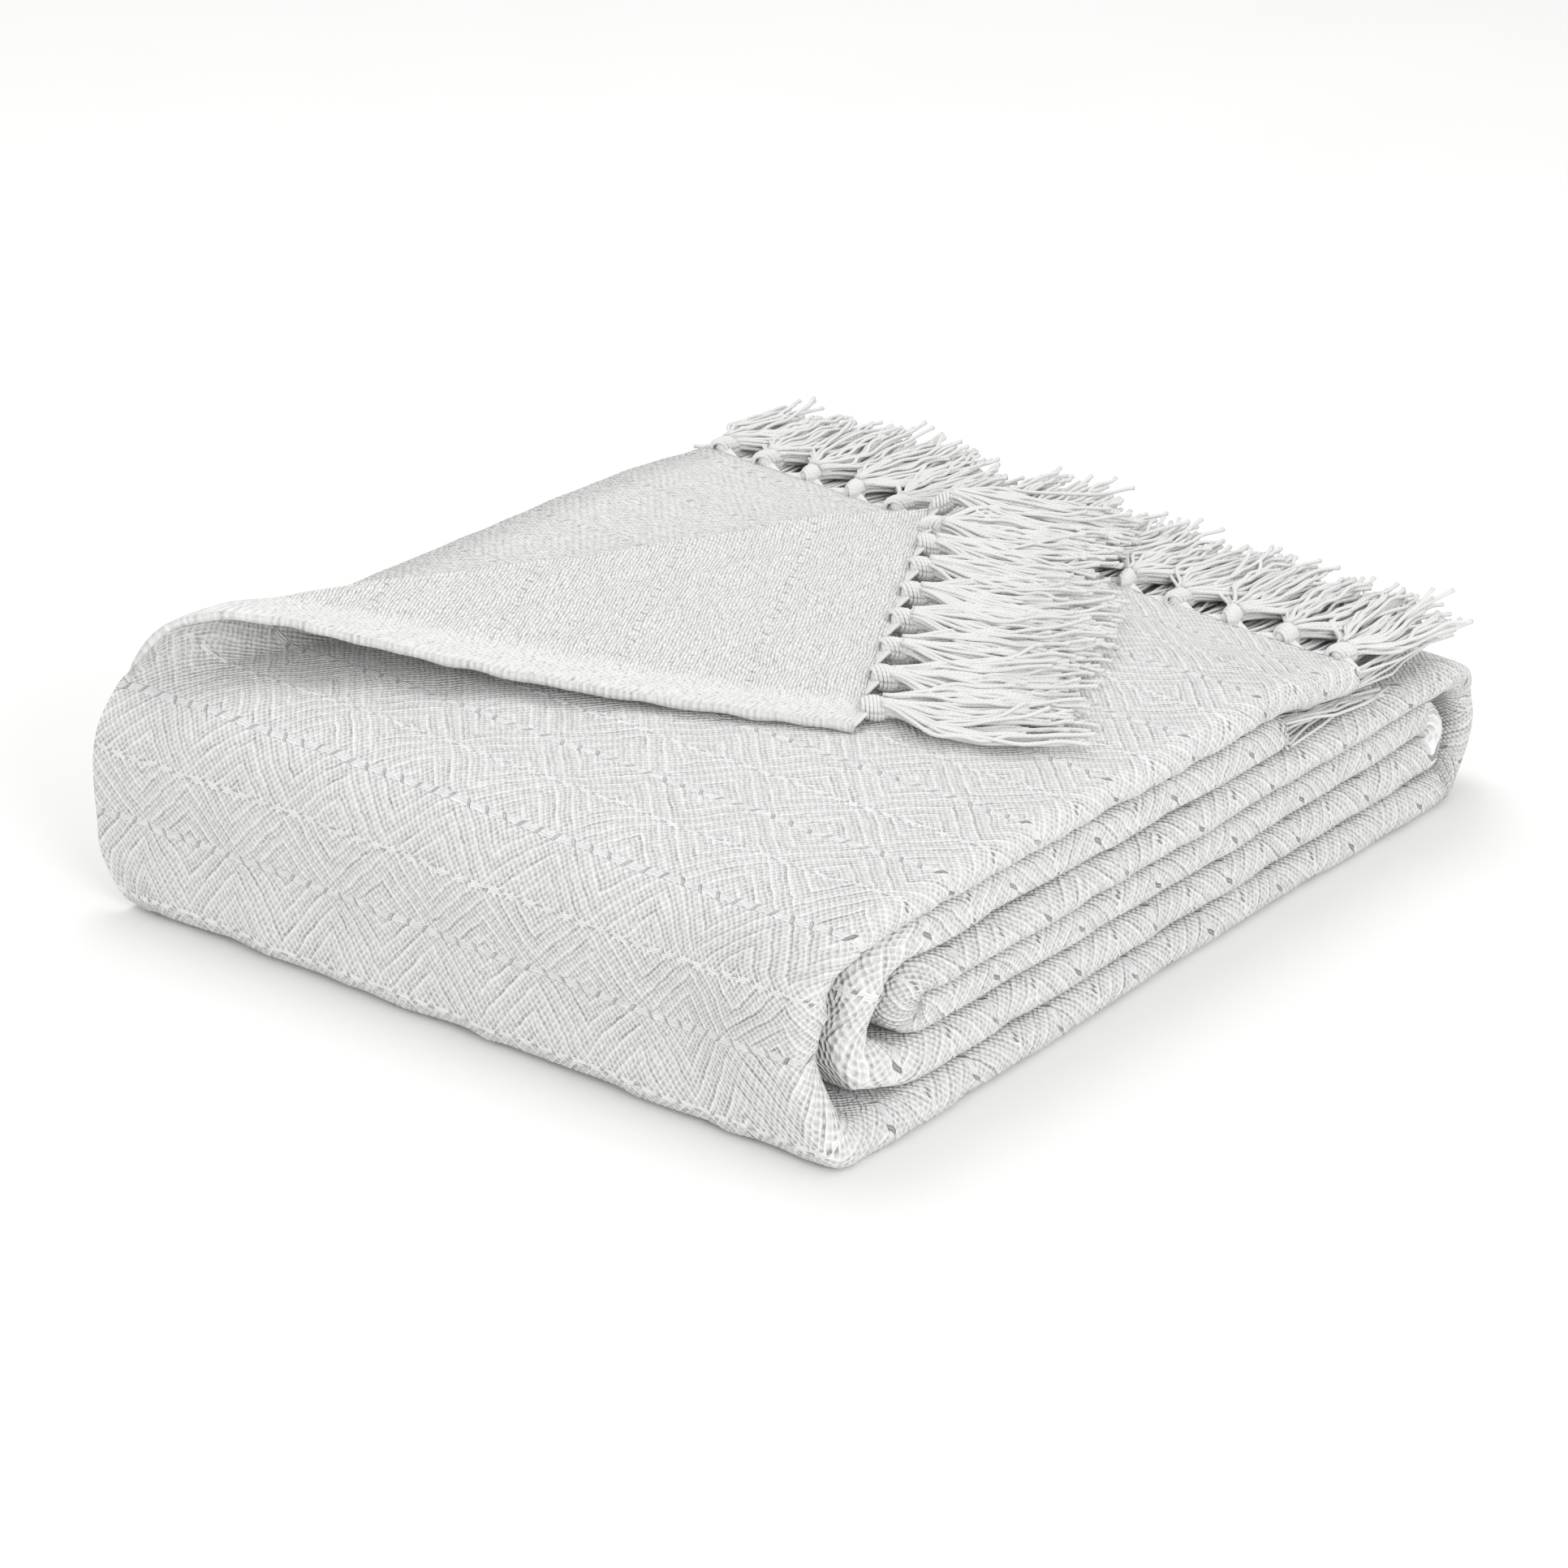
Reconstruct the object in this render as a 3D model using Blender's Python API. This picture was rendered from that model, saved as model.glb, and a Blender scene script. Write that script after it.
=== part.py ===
"""Folded cotton bedspread with knotted fringe, built in metres, Z up.

The cloth is one sheet. It is folded lengthwise into four plies, then folded
in half, then in thirds, so six soft ridges of four plies lie on each other.
One far corner of the top ply is turned over in a loose curl. Knots with
tassels stand along both short ends of the sheet.
"""
import math

import bmesh
import bpy
import numpy as np

MM = 0.001

# Cloth and pile, in millimetres until the solids are finished
SHEET = 2.2
PLY_PITCH = 3.75
RIDGE = 4.0 * PLY_PITCH
PILE_DEPTH = 350.0
TOP_END_Y = 334.0
INNER_END_Y = 281.0
CURL_MOUTH_Y = 110.0
LEFT_OUTER_Y = 44.3
LEFT_SECOND_Y = 52.0
HALF_FOLD_Y = 57.0
RIGHT_OUTER_Y = 393.0
RIGHT_INNER_Y = 385.0
FLOOR_LEVEL = 0.5 * PLY_PITCH - 0.5 * SHEET

# Quarter folds across the width
OUTER_FOLD_X = -6.8
INNER_FOLD_X = -11.0
LEFT_FOLD_X = -342.5
LOWER_EDGE_X = -347.0

# Turned-over corner: the crease leaves the short end at CREASE_X
CREASE_X = -218.0
CREASE_ANGLE = 247.3
FLAP_ANGLE = -59.3
FLAP_LENGTH = 233.8
FLAP_TAPER = 0.7541
TURNED_RUN = 290.0
CURL_SMALL = 2.2
CURL_LARGE = 12.4
CURL_REACH = 312.0
CURL_END = 288.0
CURL_RUN_OUT = 30.0
FLAP_REST = 4.0
FLAP_SETTLE = 190.0

# Fringe
KNOT_HALF = 4.6
TASSEL = 73.0
PARTING = 0.35

# Sections along the length of the folded sheet: a straight run has a level
# in ridge heights, a turn has a centre height and a radius in ridge heights.
SECTIONS = (
    dict(name="top run", kind="run", level=5.5, start=TOP_END_Y, end=CURL_MOUTH_Y, steps=7),
    dict(name="top run at the curl", kind="run", level=5.5, start=CURL_MOUTH_Y, end=LEFT_OUTER_Y, steps=4),
    dict(name="outer left wrap", kind="turn", y=LEFT_OUTER_Y, level=3.0, radius=2.5,
         start=90.0, end=270.0, outside=1.0, steps=8),
    dict(name="bottom run", kind="run", level=0.5, start=LEFT_OUTER_Y, end=RIGHT_OUTER_Y, steps=3),
    dict(name="outer right wrap", kind="turn", y=RIGHT_OUTER_Y, level=2.0, radius=1.5,
         start=-90.0, end=90.0, outside=1.0, steps=6),
    dict(name="third ridge run", kind="run", level=3.5, start=RIGHT_OUTER_Y, end=HALF_FOLD_Y, steps=3),
    dict(name="half fold", kind="turn", y=HALF_FOLD_Y, level=3.0, radius=0.5,
         start=90.0, end=270.0, outside=1.0, steps=4),
    dict(name="fourth ridge run", kind="run", level=2.5, start=HALF_FOLD_Y, end=RIGHT_INNER_Y, steps=3),
    dict(name="inner right wrap", kind="turn", y=RIGHT_INNER_Y, level=2.0, radius=0.5,
         start=90.0, end=-90.0, outside=-1.0, steps=4),
    dict(name="fifth ridge run", kind="run", level=1.5, start=RIGHT_INNER_Y, end=LEFT_SECOND_Y, steps=3),
    dict(name="second left wrap", kind="turn", y=LEFT_SECOND_Y, level=3.0, radius=1.5,
         start=270.0, end=90.0, outside=-1.0, steps=6),
    dict(name="second ridge run", kind="run", level=4.5, start=LEFT_SECOND_Y, end=INNER_END_Y, steps=3),
)

# Pieces across the width, from the selvedge of the top ply to that of the second ply
WIDTH_PIECES = (
    dict(name="turned part", steps=4),
    dict(name="curl", steps=7),
    dict(name="top ply", steps=4),
    dict(name="outer quarter fold", steps=6),
    dict(name="lowest ply", steps=3),
    dict(name="left quarter fold", steps=3),
    dict(name="third ply", steps=3),
    dict(name="inner quarter fold", steps=3),
    dict(name="second ply", steps=4),
)

# Overhang of the top ply past the pile where the corner is no longer turned
OVERHANG = (
    dict(along=0.0, past=101.8),
    dict(along=290.0, past=4.4),
    dict(along=345.0, past=5.0),
    dict(along=370.0, past=4.0),
    dict(along=400.0, past=1.0),
    dict(along=2200.0, past=0.0),
)

# How far each ridge stands out on the face of folds, from the floor up
RIDGE_REACH = (
    dict(level=0.0, out=3.0),
    dict(level=0.5, out=2.6),
    dict(level=1.5, out=-1.0),
    dict(level=2.5, out=-2.5),
    dict(level=3.5, out=1.5),
    dict(level=4.5, out=-4.5),
    dict(level=5.5, out=0.0),
    dict(level=6.2, out=0.0),
)

# How the neat pile settles, in millimetres
SQUARE_UPPER = 2.6      # squareness of the left wrap above its middle, 2 is round
SQUARE_LOWER = 8.0
CORNER_IN = 14.0        # the face of folds draws in at the near corner
END_SAG = 9.0           # the fringe end sinks by this at its fringe, the first part at the cloth's edge
END_SAG_FIRST = 4.0
RIGHT_SAG = 5.0         # the part of the sag that comes early at the face of folds
RIGHT_BACK = 9.0        # the fringe end draws back at the face of folds
WRAP_IN = 14.0          # the right wrap curves in towards the floor
WAVE = 0.7              # soft unevenness of the plies
BACK_IN = 14.0          # the floor corner at the left back is tucked in
LEFT_SKEW = 0.03        # the left wrap is not square to the face of folds
RIGHT_SKEW = 0.025

# Rows of knots. ply is the offset from the middle of a ridge in ply pitches.
FRINGE_ROWS = (
    dict(name="fringe_turned_corner", end="flap", ply=1.5, first=12.5, pitch=26.1, count=9, full=9),
    dict(name="fringe_top_ply", end="top", ply=1.5, first=-13.0, pitch=-26.5, count=8, full=8),
    dict(name="fringe_second_ply", end="top", ply=0.5, first=-15.5, pitch=-25.0, count=14, full=-5),
    dict(name="fringe_third_ply", end="top", ply=-0.5, first=-14.0, pitch=-26.0, count=13, full=0),
    dict(name="fringe_lowest_ply", end="top", ply=-1.5, first=-16.0, pitch=-26.0, count=13, full=0),
    dict(name="inner_fringe_top_ply", end="inner", ply=-1.5, first=-14.0, pitch=-26.0, count=13, full=0),
    dict(name="inner_fringe_second_ply", end="inner", ply=-0.5, first=-17.0, pitch=-26.0, count=13, full=0),
    dict(name="inner_fringe_third_ply", end="inner", ply=0.5, first=-15.0, pitch=-26.0, count=13, full=0),
    dict(name="inner_fringe_lowest_ply", end="inner", ply=1.5, first=-16.0, pitch=-26.0, count=13, full=1),
)


def smooth(value):
    t = np.clip(value, 0.0, 1.0)
    return t * t * (3.0 - 2.0 * t)


def table(rows, key, value, at):
    return np.interp(at, [row[key] for row in rows], [row[value] for row in rows])


def section_length(section):
    if section["kind"] == "run":
        return abs(section["end"] - section["start"])
    sweep = math.radians(abs(section["end"] - section["start"]))
    return sweep * section["radius"] * RIDGE


STARTS = np.concatenate([[0.0], np.cumsum([section_length(s) for s in SECTIONS])])


def path(along):
    """Middle line of the four plies in Y and Z, with the direction of the face side."""
    along = np.asarray(along, float)
    y = np.zeros_like(along)
    z = np.zeros_like(along)
    ny = np.zeros_like(along)
    nz = np.zeros_like(along)
    index = np.clip(np.searchsorted(STARTS, along, side="right") - 1, 0, len(SECTIONS) - 1)
    for i, section in enumerate(SECTIONS):
        here = index == i
        part = (along[here] - STARTS[i]) / section_length(section)
        if section["kind"] == "run":
            y[here] = section["start"] + (section["end"] - section["start"]) * part
            z[here] = section["level"] * RIDGE
            nz[here] = 1.0 if section["end"] < section["start"] else -1.0
        else:
            angle = np.radians(section["start"] + (section["end"] - section["start"]) * part)
            radius = section["radius"] * RIDGE
            y[here] = section["y"] + radius * np.cos(angle)
            z[here] = section["level"] * RIDGE + radius * np.sin(angle)
            ny[here] = section["outside"] * np.cos(angle)
            nz[here] = section["outside"] * np.sin(angle)
    return y, z, ny, nz


def place(x, along, height):
    """A point of the pile from its width, its run along the cloth and its offset."""
    y, z, ny, nz = path(along)
    return np.stack([x, y + ny * height, z + nz * height], -1)


CREASE_DIR = np.array([math.cos(math.radians(CREASE_ANGLE)), math.sin(math.radians(CREASE_ANGLE))])
CREASE_SIDE = np.array([CREASE_DIR[1], -CREASE_DIR[0]])
FLAP_DIR = np.array([math.cos(math.radians(FLAP_ANGLE)), math.sin(math.radians(FLAP_ANGLE))])
SLOPE = CREASE_DIR[0] / CREASE_DIR[1]
IN_RATE = (-CREASE_DIR[0], -CREASE_SIDE[0])
OUT_RATE = (float(FLAP_DIR @ CREASE_DIR), float(-(FLAP_DIR @ CREASE_SIDE)))
CREASE_SOFTNESS = 7.0


def curl_radius(run):
    """The curl opens from the short end towards the left edge."""
    return CURL_SMALL + (CURL_LARGE - CURL_SMALL) * np.clip(run / CURL_REACH, 0.0, 1.0) ** 2.5


def flap_height(run, across):
    """Height of the turned part over the top ply: high at the curl, then lying down."""
    radius = curl_radius(run)
    quarter = 0.5 * math.pi * radius
    settle = 0.5 + 0.5 * np.cos(math.pi * np.clip((across - quarter) / FLAP_SETTLE, 0.0, 1.0))
    return FLAP_REST + (2.0 * radius - FLAP_REST) * settle


def top_ply(reach, along):
    """The top ply with its far corner rolled over the crease.

    reach is the distance from the face of folds. Past the crease line the
    row goes round a half circle of growing radius and comes back over the top.
    The curl runs out where the cloth goes over the left edge of the pile.
    """
    crease = -CREASE_X + SLOPE * along
    past = reach - crease
    blend = CREASE_SOFTNESS * np.logaddexp(0.0, past / CREASE_SOFTNESS)
    run = along / -CREASE_DIR[1] + IN_RATE[0] * past + (OUT_RATE[0] - IN_RATE[0]) * blend
    across = IN_RATE[1] * past + (OUT_RATE[1] - IN_RATE[1]) * blend
    radius = curl_radius(run)
    quarter = 0.5 * math.pi * radius
    turn = np.clip((across + quarter) / radius, 0.0, math.pi)
    side = np.where(across > quarter, -across, np.minimum(across, -quarter) + radius * np.sin(turn))
    lift = np.where(across > quarter, flap_height(run, across), radius * (1.0 - np.cos(turn)))
    x = CREASE_X + run * CREASE_DIR[0] + side * CREASE_SIDE[0]
    y = TOP_END_Y + run * CREASE_DIR[1] + side * CREASE_SIDE[1]
    curled = place(x, TOP_END_Y - y, 1.5 * PLY_PITCH + lift)
    level = place(-reach, along, np.full_like(reach, 1.5 * PLY_PITCH))
    lying = smooth((along - CURL_END) / CURL_RUN_OUT)[..., None]
    return curled + (level - curled) * lying


def row_end(along):
    """Reach of the selvedge of the top ply from the face of folds."""
    turned = -CREASE_X + SLOPE * along + FLAP_LENGTH - FLAP_TAPER * along
    return np.where(along < TURNED_RUN, turned, PILE_DEPTH + table(OVERHANG, "along", "past", along))


def cloth(station, along):
    """Mid-surface of the sheet. station counts the pieces of WIDTH_PIECES."""
    station, along = np.broadcast_arrays(np.asarray(station, float), np.asarray(along, float))
    piece = np.clip(np.floor(station), 0, len(WIDTH_PIECES) - 1).astype(int)
    part = station - piece
    end = row_end(along)
    crease = -CREASE_X + SLOPE * along
    quarter = 0.5 * math.pi * curl_radius(along / -CREASE_DIR[1])
    before = np.minimum(crease - quarter / IN_RATE[1] - 3.0, end - 26.0)
    after = np.minimum(crease + quarter / OUT_RATE[1] + 3.0, before + 0.62 * (end - before))
    nodes = [end, after, before, np.full_like(end, -OUTER_FOLD_X)]
    point = np.zeros(station.shape + (3,))
    for i in range(3):
        here = piece == i
        reach = nodes[i][here] + (nodes[i + 1][here] - nodes[i][here]) * part[here]
        point[here] = top_ply(reach, along[here])
    half = 0.5 * PLY_PITCH
    turn = np.pi * part
    shapes = {
        3: (OUTER_FOLD_X + 3.0 * half * np.sin(turn), 3.0 * half * np.cos(turn)),
        4: (OUTER_FOLD_X + (LEFT_FOLD_X - OUTER_FOLD_X) * part, np.full_like(part, -3.0 * half)),
        5: (LEFT_FOLD_X - half * np.sin(turn), -2.0 * half - half * np.cos(turn)),
        6: (LEFT_FOLD_X + (INNER_FOLD_X - LEFT_FOLD_X) * part, np.full_like(part, -half)),
        7: (INNER_FOLD_X + half * np.sin(turn), -half * np.cos(turn)),
        8: (INNER_FOLD_X + (LOWER_EDGE_X - INNER_FOLD_X) * part, np.full_like(part, half)),
    }
    for i, (x, offset) in shapes.items():
        here = piece == i
        point[here] = place(x[here], along[here], offset[here])
    return point


def settle(point):
    """Softens the neat pile: fuller to the left and back, sagging at the fringe, ridges uneven.

    Every point moves by smooth functions of its own place, so plies never meet.
    """
    x, y, z = point[..., 0].copy(), point[..., 1].copy(), point[..., 2].copy()

    # the left wrap is squarer than a half circle
    middle = 3.0 * RIDGE
    dy = np.maximum(LEFT_OUTER_Y - y, 0.0)
    dz = z - middle
    size = np.hypot(dy, dz) + 1e-9
    power = np.where(dz > 0.0, SQUARE_UPPER, SQUARE_LOWER)
    square = ((dy / size) ** power + np.abs(dz / size) ** power) ** (-1.0 / power)
    square = np.where(dy > 0.0, square, 1.0)
    y = np.where(dy > 0.0, LEFT_OUTER_Y - dy * square, y)
    z = np.where(dy > 0.0, middle + dz * square, z)

    # ridges in and out on the face of folds, drawn in at the near corner
    rise = (z - FLOOR_LEVEL) / RIDGE
    out = table(RIDGE_REACH, "level", "out", rise)
    ends = 1.0 + 0.4 * np.cos((y - 60.0) / 55.0)
    near = smooth((75.0 - y) / 75.0) * np.sin(math.pi * np.clip(rise / 6.0, 0.0, 1.0)) ** 2
    x = x + (out * ends - CORNER_IN * near) * smooth((x + 90.0) / 80.0)

    # the fringe end sinks onto the third ridge, most at the face of folds
    over = np.clip(rise - 4.0, 0.0, 1.0)
    right = np.clip(1.0 + x / PILE_DEPTH, 0.0, 1.1)
    first = (END_SAG_FIRST + RIGHT_SAG * right) * smooth((y - 272.0) / 70.0)
    second = (END_SAG - RIGHT_SAG * right) * smooth((y - 325.0) / 90.0)
    z = z - (first + second) * over
    y = y - RIGHT_BACK * right * smooth((y - 245.0) / 85.0) * over
    y = y - WRAP_IN * smooth((y - 383.0) / 36.0) * smooth((2.0 - rise) / 2.0)

    # soft waves, and the back and left a little fuller than the front
    share = np.clip(rise / 6.0, 0.0, 1.2)
    z = z + share * WAVE * np.sin(x / 47.0 + 0.6) * np.sin(y / 58.0 + 1.1)
    fuller = 1.0 + 0.03 * smooth(y / 120.0) + 0.05 * smooth(-x / 350.0)
    z = (z - FLOOR_LEVEL) * fuller

    # both ends out of square, the foot of the left wrap spread and its back corner tucked in
    y = y - RIGHT_SKEW * x * smooth((y - 120.0) / 200.0)
    low_down = smooth((1.8 - rise) / 1.8)
    x = x + BACK_IN * smooth((-x - 315.0) / 35.0) * smooth((45.0 - y) / 50.0) * low_down
    front = (LEFT_SKEW * x - 2.0) * smooth((160.0 - y) / 140.0)
    y = y + front - 4.0 * smooth((2.5 - rise) / 2.5) * smooth((110.0 - y) / 90.0)
    return np.stack([x, y, z], -1)


def stations(pieces):
    cuts = [0.0]
    for i, piece in enumerate(pieces):
        cuts.extend(i + (np.arange(piece["steps"]) + 1.0) / piece["steps"])
    return np.array(cuts)


def length_stations():
    cuts = [0.0]
    for i, section in enumerate(SECTIONS):
        span = STARTS[i + 1] - STARTS[i]
        cuts.extend(STARTS[i] + span * (np.arange(section["steps"]) + 1.0) / section["steps"])
    return np.array(cuts)


def sheet_solid():
    """The sheet given its thickness along its own normals, closed by four rims."""
    across, along = np.meshgrid(stations(WIDTH_PIECES), length_stations(), indexing="ij")
    middle = cloth(across, along)
    step = 1e-4
    last = len(WIDTH_PIECES)
    by_width = cloth(np.minimum(across + step, last), along) - cloth(np.maximum(across - step, 0.0), along)
    by_length = (cloth(across, np.minimum(along + step * 300.0, STARTS[-1]))
                 - cloth(across, np.maximum(along - step * 300.0, 0.0)))
    by_width /= np.linalg.norm(by_width, axis=-1, keepdims=True)
    by_length /= np.linalg.norm(by_length, axis=-1, keepdims=True)
    normal = np.cross(by_width, by_length)
    normal /= np.linalg.norm(normal, axis=-1, keepdims=True)
    face = settle(middle - normal * 0.5 * SHEET)
    back = settle(middle + normal * 0.5 * SHEET)
    rows, columns = across.shape
    index = np.arange(rows * columns).reshape(rows, columns)
    other = index + rows * columns
    quads = []
    for i in range(rows - 1):
        for j in range(columns - 1):
            quads.append((index[i, j], index[i, j + 1], index[i + 1, j + 1], index[i + 1, j]))
            quads.append((other[i, j], other[i + 1, j], other[i + 1, j + 1], other[i, j + 1]))
    for j in range(columns - 1):
        quads.append((index[0, j], other[0, j], other[0, j + 1], index[0, j + 1]))
        quads.append((index[-1, j + 1], other[-1, j + 1], other[-1, j], index[-1, j]))
    for i in range(rows - 1):
        quads.append((index[i + 1, 0], other[i + 1, 0], other[i, 0], index[i, 0]))
        quads.append((index[i, -1], other[i, -1], other[i + 1, -1], index[i + 1, -1]))
    points = np.concatenate([face.reshape(-1, 3), back.reshape(-1, 3)])
    return points, quads


def fringe_place(row, along_edge, out, up):
    """Nominal position of a fringe point beside its own edge of the sheet."""
    offset = row["ply"] * PLY_PITCH
    if row["end"] == "top":
        z = 5.5 * RIDGE + offset + up
        return np.stack([along_edge, TOP_END_Y + out, z], -1)
    if row["end"] == "inner":
        z = 4.5 * RIDGE + offset + up
        return np.stack([along_edge, INNER_END_Y + out, z], -1)
    outward = np.array([-FLAP_DIR[1], FLAP_DIR[0]])
    x = CREASE_X + along_edge * FLAP_DIR[0] + out * outward[0]
    y = TOP_END_Y + along_edge * FLAP_DIR[1] + out * outward[1]
    run = OUT_RATE[0] * along_edge
    across = OUT_RATE[1] * along_edge
    over = 5.0 * smooth((y - TOP_END_Y + 24.0) / 18.0) * smooth(out / 12.0)
    height = flap_height(run, across) + over
    return place(x, TOP_END_Y - y, offset + height + up)


def knot_centres(row):
    return row["first"] + row["pitch"] * np.arange(row["count"])


def is_full(row, i):
    if row["full"] >= 0:
        return i < row["full"]
    return i >= row["count"] + row["full"]


def comb_solid(row, number):
    """A row of knots joined by a narrow band, each knot with its locks of yarn."""
    rng = np.random.default_rng(100 + number)
    lying = row["end"] == "inner"
    cuts = []
    locks = []
    for i, centre in enumerate(np.sort(knot_centres(row))):
        order = i if row["end"] == "flap" else row["count"] - 1 - i
        full = is_full(row, order)
        top = 3.6 if full and not lying else 1.25
        count = 4 if full else 1
        share = 0.72 if full else 1.0
        width = 2.0 * KNOT_HALF * share / count
        gap = 2.0 * KNOT_HALF * (1.0 - share) / max(count - 1, 1)
        for k in range(count):
            left = centre - KNOT_HALF + k * (width + gap)
            right = left + width
            for at in (left, right):
                bulge = math.sqrt(max(0.0, 1.0 - ((at - centre) / (KNOT_HALF * 1.25)) ** 2))
                cuts.append((at, 4.0 + 4.0 * bulge, -1.1, 0.5 + (top - 0.5) * bulge))
            length = TASSEL * (0.90 + 0.18 * rng.random())
            offset = 0.0 if count == 1 else (k - 0.5 * (count - 1)) / (0.5 * (count - 1))
            locks.append((len(cuts) - 2, centre, offset, count, length, rng.random(3), full))
    neck = []
    for i, cut in enumerate(cuts):
        neck.append(cut)
        if i + 1 < len(cuts) and cuts[i + 1][0] - cut[0] > 6.0:
            neck.append((cut[0] + 1.6, 1.8, -0.8, 0.8))
            neck.append((cuts[i + 1][0] - 1.6, 1.8, -0.8, 0.8))
    shift = {}
    for i, cut in enumerate(cuts):
        shift[i] = neck.index(cut)
    points = []
    for at, depth, low, high in neck:
        for out, up in ((PARTING, low), (PARTING, high), (PARTING + depth, high), (PARTING + depth, low)):
            points.append((at, out, up))
    roots = {shift[lock[0]]: lock for lock in locks}
    faces = [(0, 1, 2, 3)]
    for i in range(len(neck) - 1):
        a, b = 4 * i, 4 * (i + 1)
        for k in range(4):
            if k == 2 and i in roots:
                continue
            faces.append((a + k, b + k, b + (k + 1) % 4, a + (k + 1) % 4))
    end = 4 * (len(neck) - 1)
    faces.append((end + 3, end + 2, end + 1, end))
    for i, (_, centre, offset, count, length, chance, full) in roots.items():
        ring = (4 * i + 2, 4 * (i + 1) + 2, 4 * (i + 1) + 3, 4 * i + 3)
        start = PARTING + neck[i][1]
        steps = 3 if full else 2
        for step in range(1, steps + 1):
            t = step / steps
            spread = (KNOT_HALF * 0.86 + 4.4 * smooth(t * 1.4)) if full else 0.0
            drift = (chance[0] - 0.5) * 5.0 * t * (1.0 if full else 0.6)
            middle = centre + offset * spread + drift * (0.35 if full else 1.0)
            wide = (1.25 + 0.5 * math.sin(math.pi * t)) if full else (3.4 + 1.6 * t)
            thick = (1.1 - 0.3 * t) if full else 0.85
            level = 0.35 * (chance[1] - 0.5) if not full else 0.5 + 0.9 * (chance[1] - 0.3) * t
            out = start + (length - start) * t
            base = len(points)
            points.append((middle - wide, out, level + thick))
            points.append((middle + wide, out, level + thick))
            points.append((middle + wide, out, level - thick))
            points.append((middle - wide, out, level - thick))
            new = (base, base + 1, base + 2, base + 3)
            for k in range(4):
                faces.append((ring[k], new[k], new[(k + 1) % 4], ring[(k + 1) % 4]))
            ring = new
        faces.append(ring)
    data = np.array(points, float)
    return settle(fringe_place(row, data[:, 0], data[:, 1], data[:, 2])), faces


def material(name, colour, rough):
    made = bpy.data.materials.new(name)
    made.use_nodes = True
    shader = made.node_tree.nodes["Principled BSDF"]
    shader.inputs["Base Color"].default_value = (*colour, 1.0)
    shader.inputs["Roughness"].default_value = rough
    return made


def make_object(name, points, faces, colour, rough):
    mesh = bpy.data.meshes.new(name)
    mesh.from_pydata([tuple(p) for p in points], [], [tuple(int(i) for i in f) for f in faces])
    work = bmesh.new()
    work.from_mesh(mesh)
    bmesh.ops.recalc_face_normals(work, faces=work.faces)
    bmesh.ops.triangulate(work, faces=work.faces)
    work.to_mesh(mesh)
    work.free()
    made = bpy.data.objects.new(name, mesh)
    bpy.context.scene.collection.objects.link(made)
    mesh.materials.append(material(name + "_cotton", colour, rough))
    return made


for old in list(bpy.data.objects):
    bpy.data.objects.remove(old, do_unlink=True)

solids = [("folded_cloth", *sheet_solid(), (0.80, 0.80, 0.79), 0.9)]
for number, row in enumerate(FRINGE_ROWS):
    solids.append((row["name"], *comb_solid(row, number), (0.84, 0.84, 0.83), 0.85))

everything = np.concatenate([points for _, points, _, _, _ in solids])
low = everything.min(axis=0)
high = everything.max(axis=0)
origin = np.array([0.5 * (low[0] + high[0]), 0.5 * (low[1] + high[1]), low[2]])
for name, points, faces, colour, rough in solids:
    make_object(name, (points - origin) * MM, faces, colour, rough)
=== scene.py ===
import math

import bpy
import numpy as np
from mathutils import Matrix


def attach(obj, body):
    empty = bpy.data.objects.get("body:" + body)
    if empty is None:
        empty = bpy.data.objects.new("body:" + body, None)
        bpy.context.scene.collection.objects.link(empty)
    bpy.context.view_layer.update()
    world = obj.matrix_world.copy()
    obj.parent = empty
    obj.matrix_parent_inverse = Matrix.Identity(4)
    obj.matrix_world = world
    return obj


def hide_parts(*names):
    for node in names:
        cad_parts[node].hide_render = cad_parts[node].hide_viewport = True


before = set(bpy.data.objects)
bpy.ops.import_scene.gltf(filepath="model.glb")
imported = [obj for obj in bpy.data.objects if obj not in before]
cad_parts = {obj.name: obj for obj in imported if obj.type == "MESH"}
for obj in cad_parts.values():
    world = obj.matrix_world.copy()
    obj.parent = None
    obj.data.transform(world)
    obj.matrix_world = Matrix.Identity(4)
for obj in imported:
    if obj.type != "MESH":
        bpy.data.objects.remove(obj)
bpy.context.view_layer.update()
print("frame loaded")

scene = bpy.context.scene
mm = 0.001

# The neat pile in millimetres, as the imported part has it. Its own corner is the far right one of the top.
pile = dict(
    sheet=2.2, plyPitch=3.75, depth=350.0, topEndY=334.0, innerEndY=281.0, curlMouthY=110.0,
    leftOuterY=44.3, leftSecondY=52.0, halfFoldY=57.0, rightOuterY=393.0, rightInnerY=385.0,
    outerFoldX=-6.8, innerFoldX=-11.0, leftFoldX=-342.5, lowerEdgeX=-347.0,
    centre=(-175.6417, 208.7552, 0.0),
)
ridge = 4.0 * pile["plyPitch"]
floorLevel = 0.5 * pile["plyPitch"] - 0.5 * pile["sheet"]

# The turned-over corner: its crease leaves the short end at creaseX
corner = dict(
    creaseX=-218.0, creaseAngle=247.3, flapAngle=-59.3, flapLength=233.8, flapTaper=0.7541, turnedRun=290.0,
    curlSmall=2.2, curlLarge=12.4, curlReach=312.0, curlEnd=288.0, curlRunOut=30.0,
    curlClear=3.0,  # flat cloth left on either side of the curl
    turnedLeast=26.0,
    curlShare=0.62,  # most of the turned width that the curl takes
    flapRest=4.0, flapSettle=190.0, softness=7.0,
)

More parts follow.
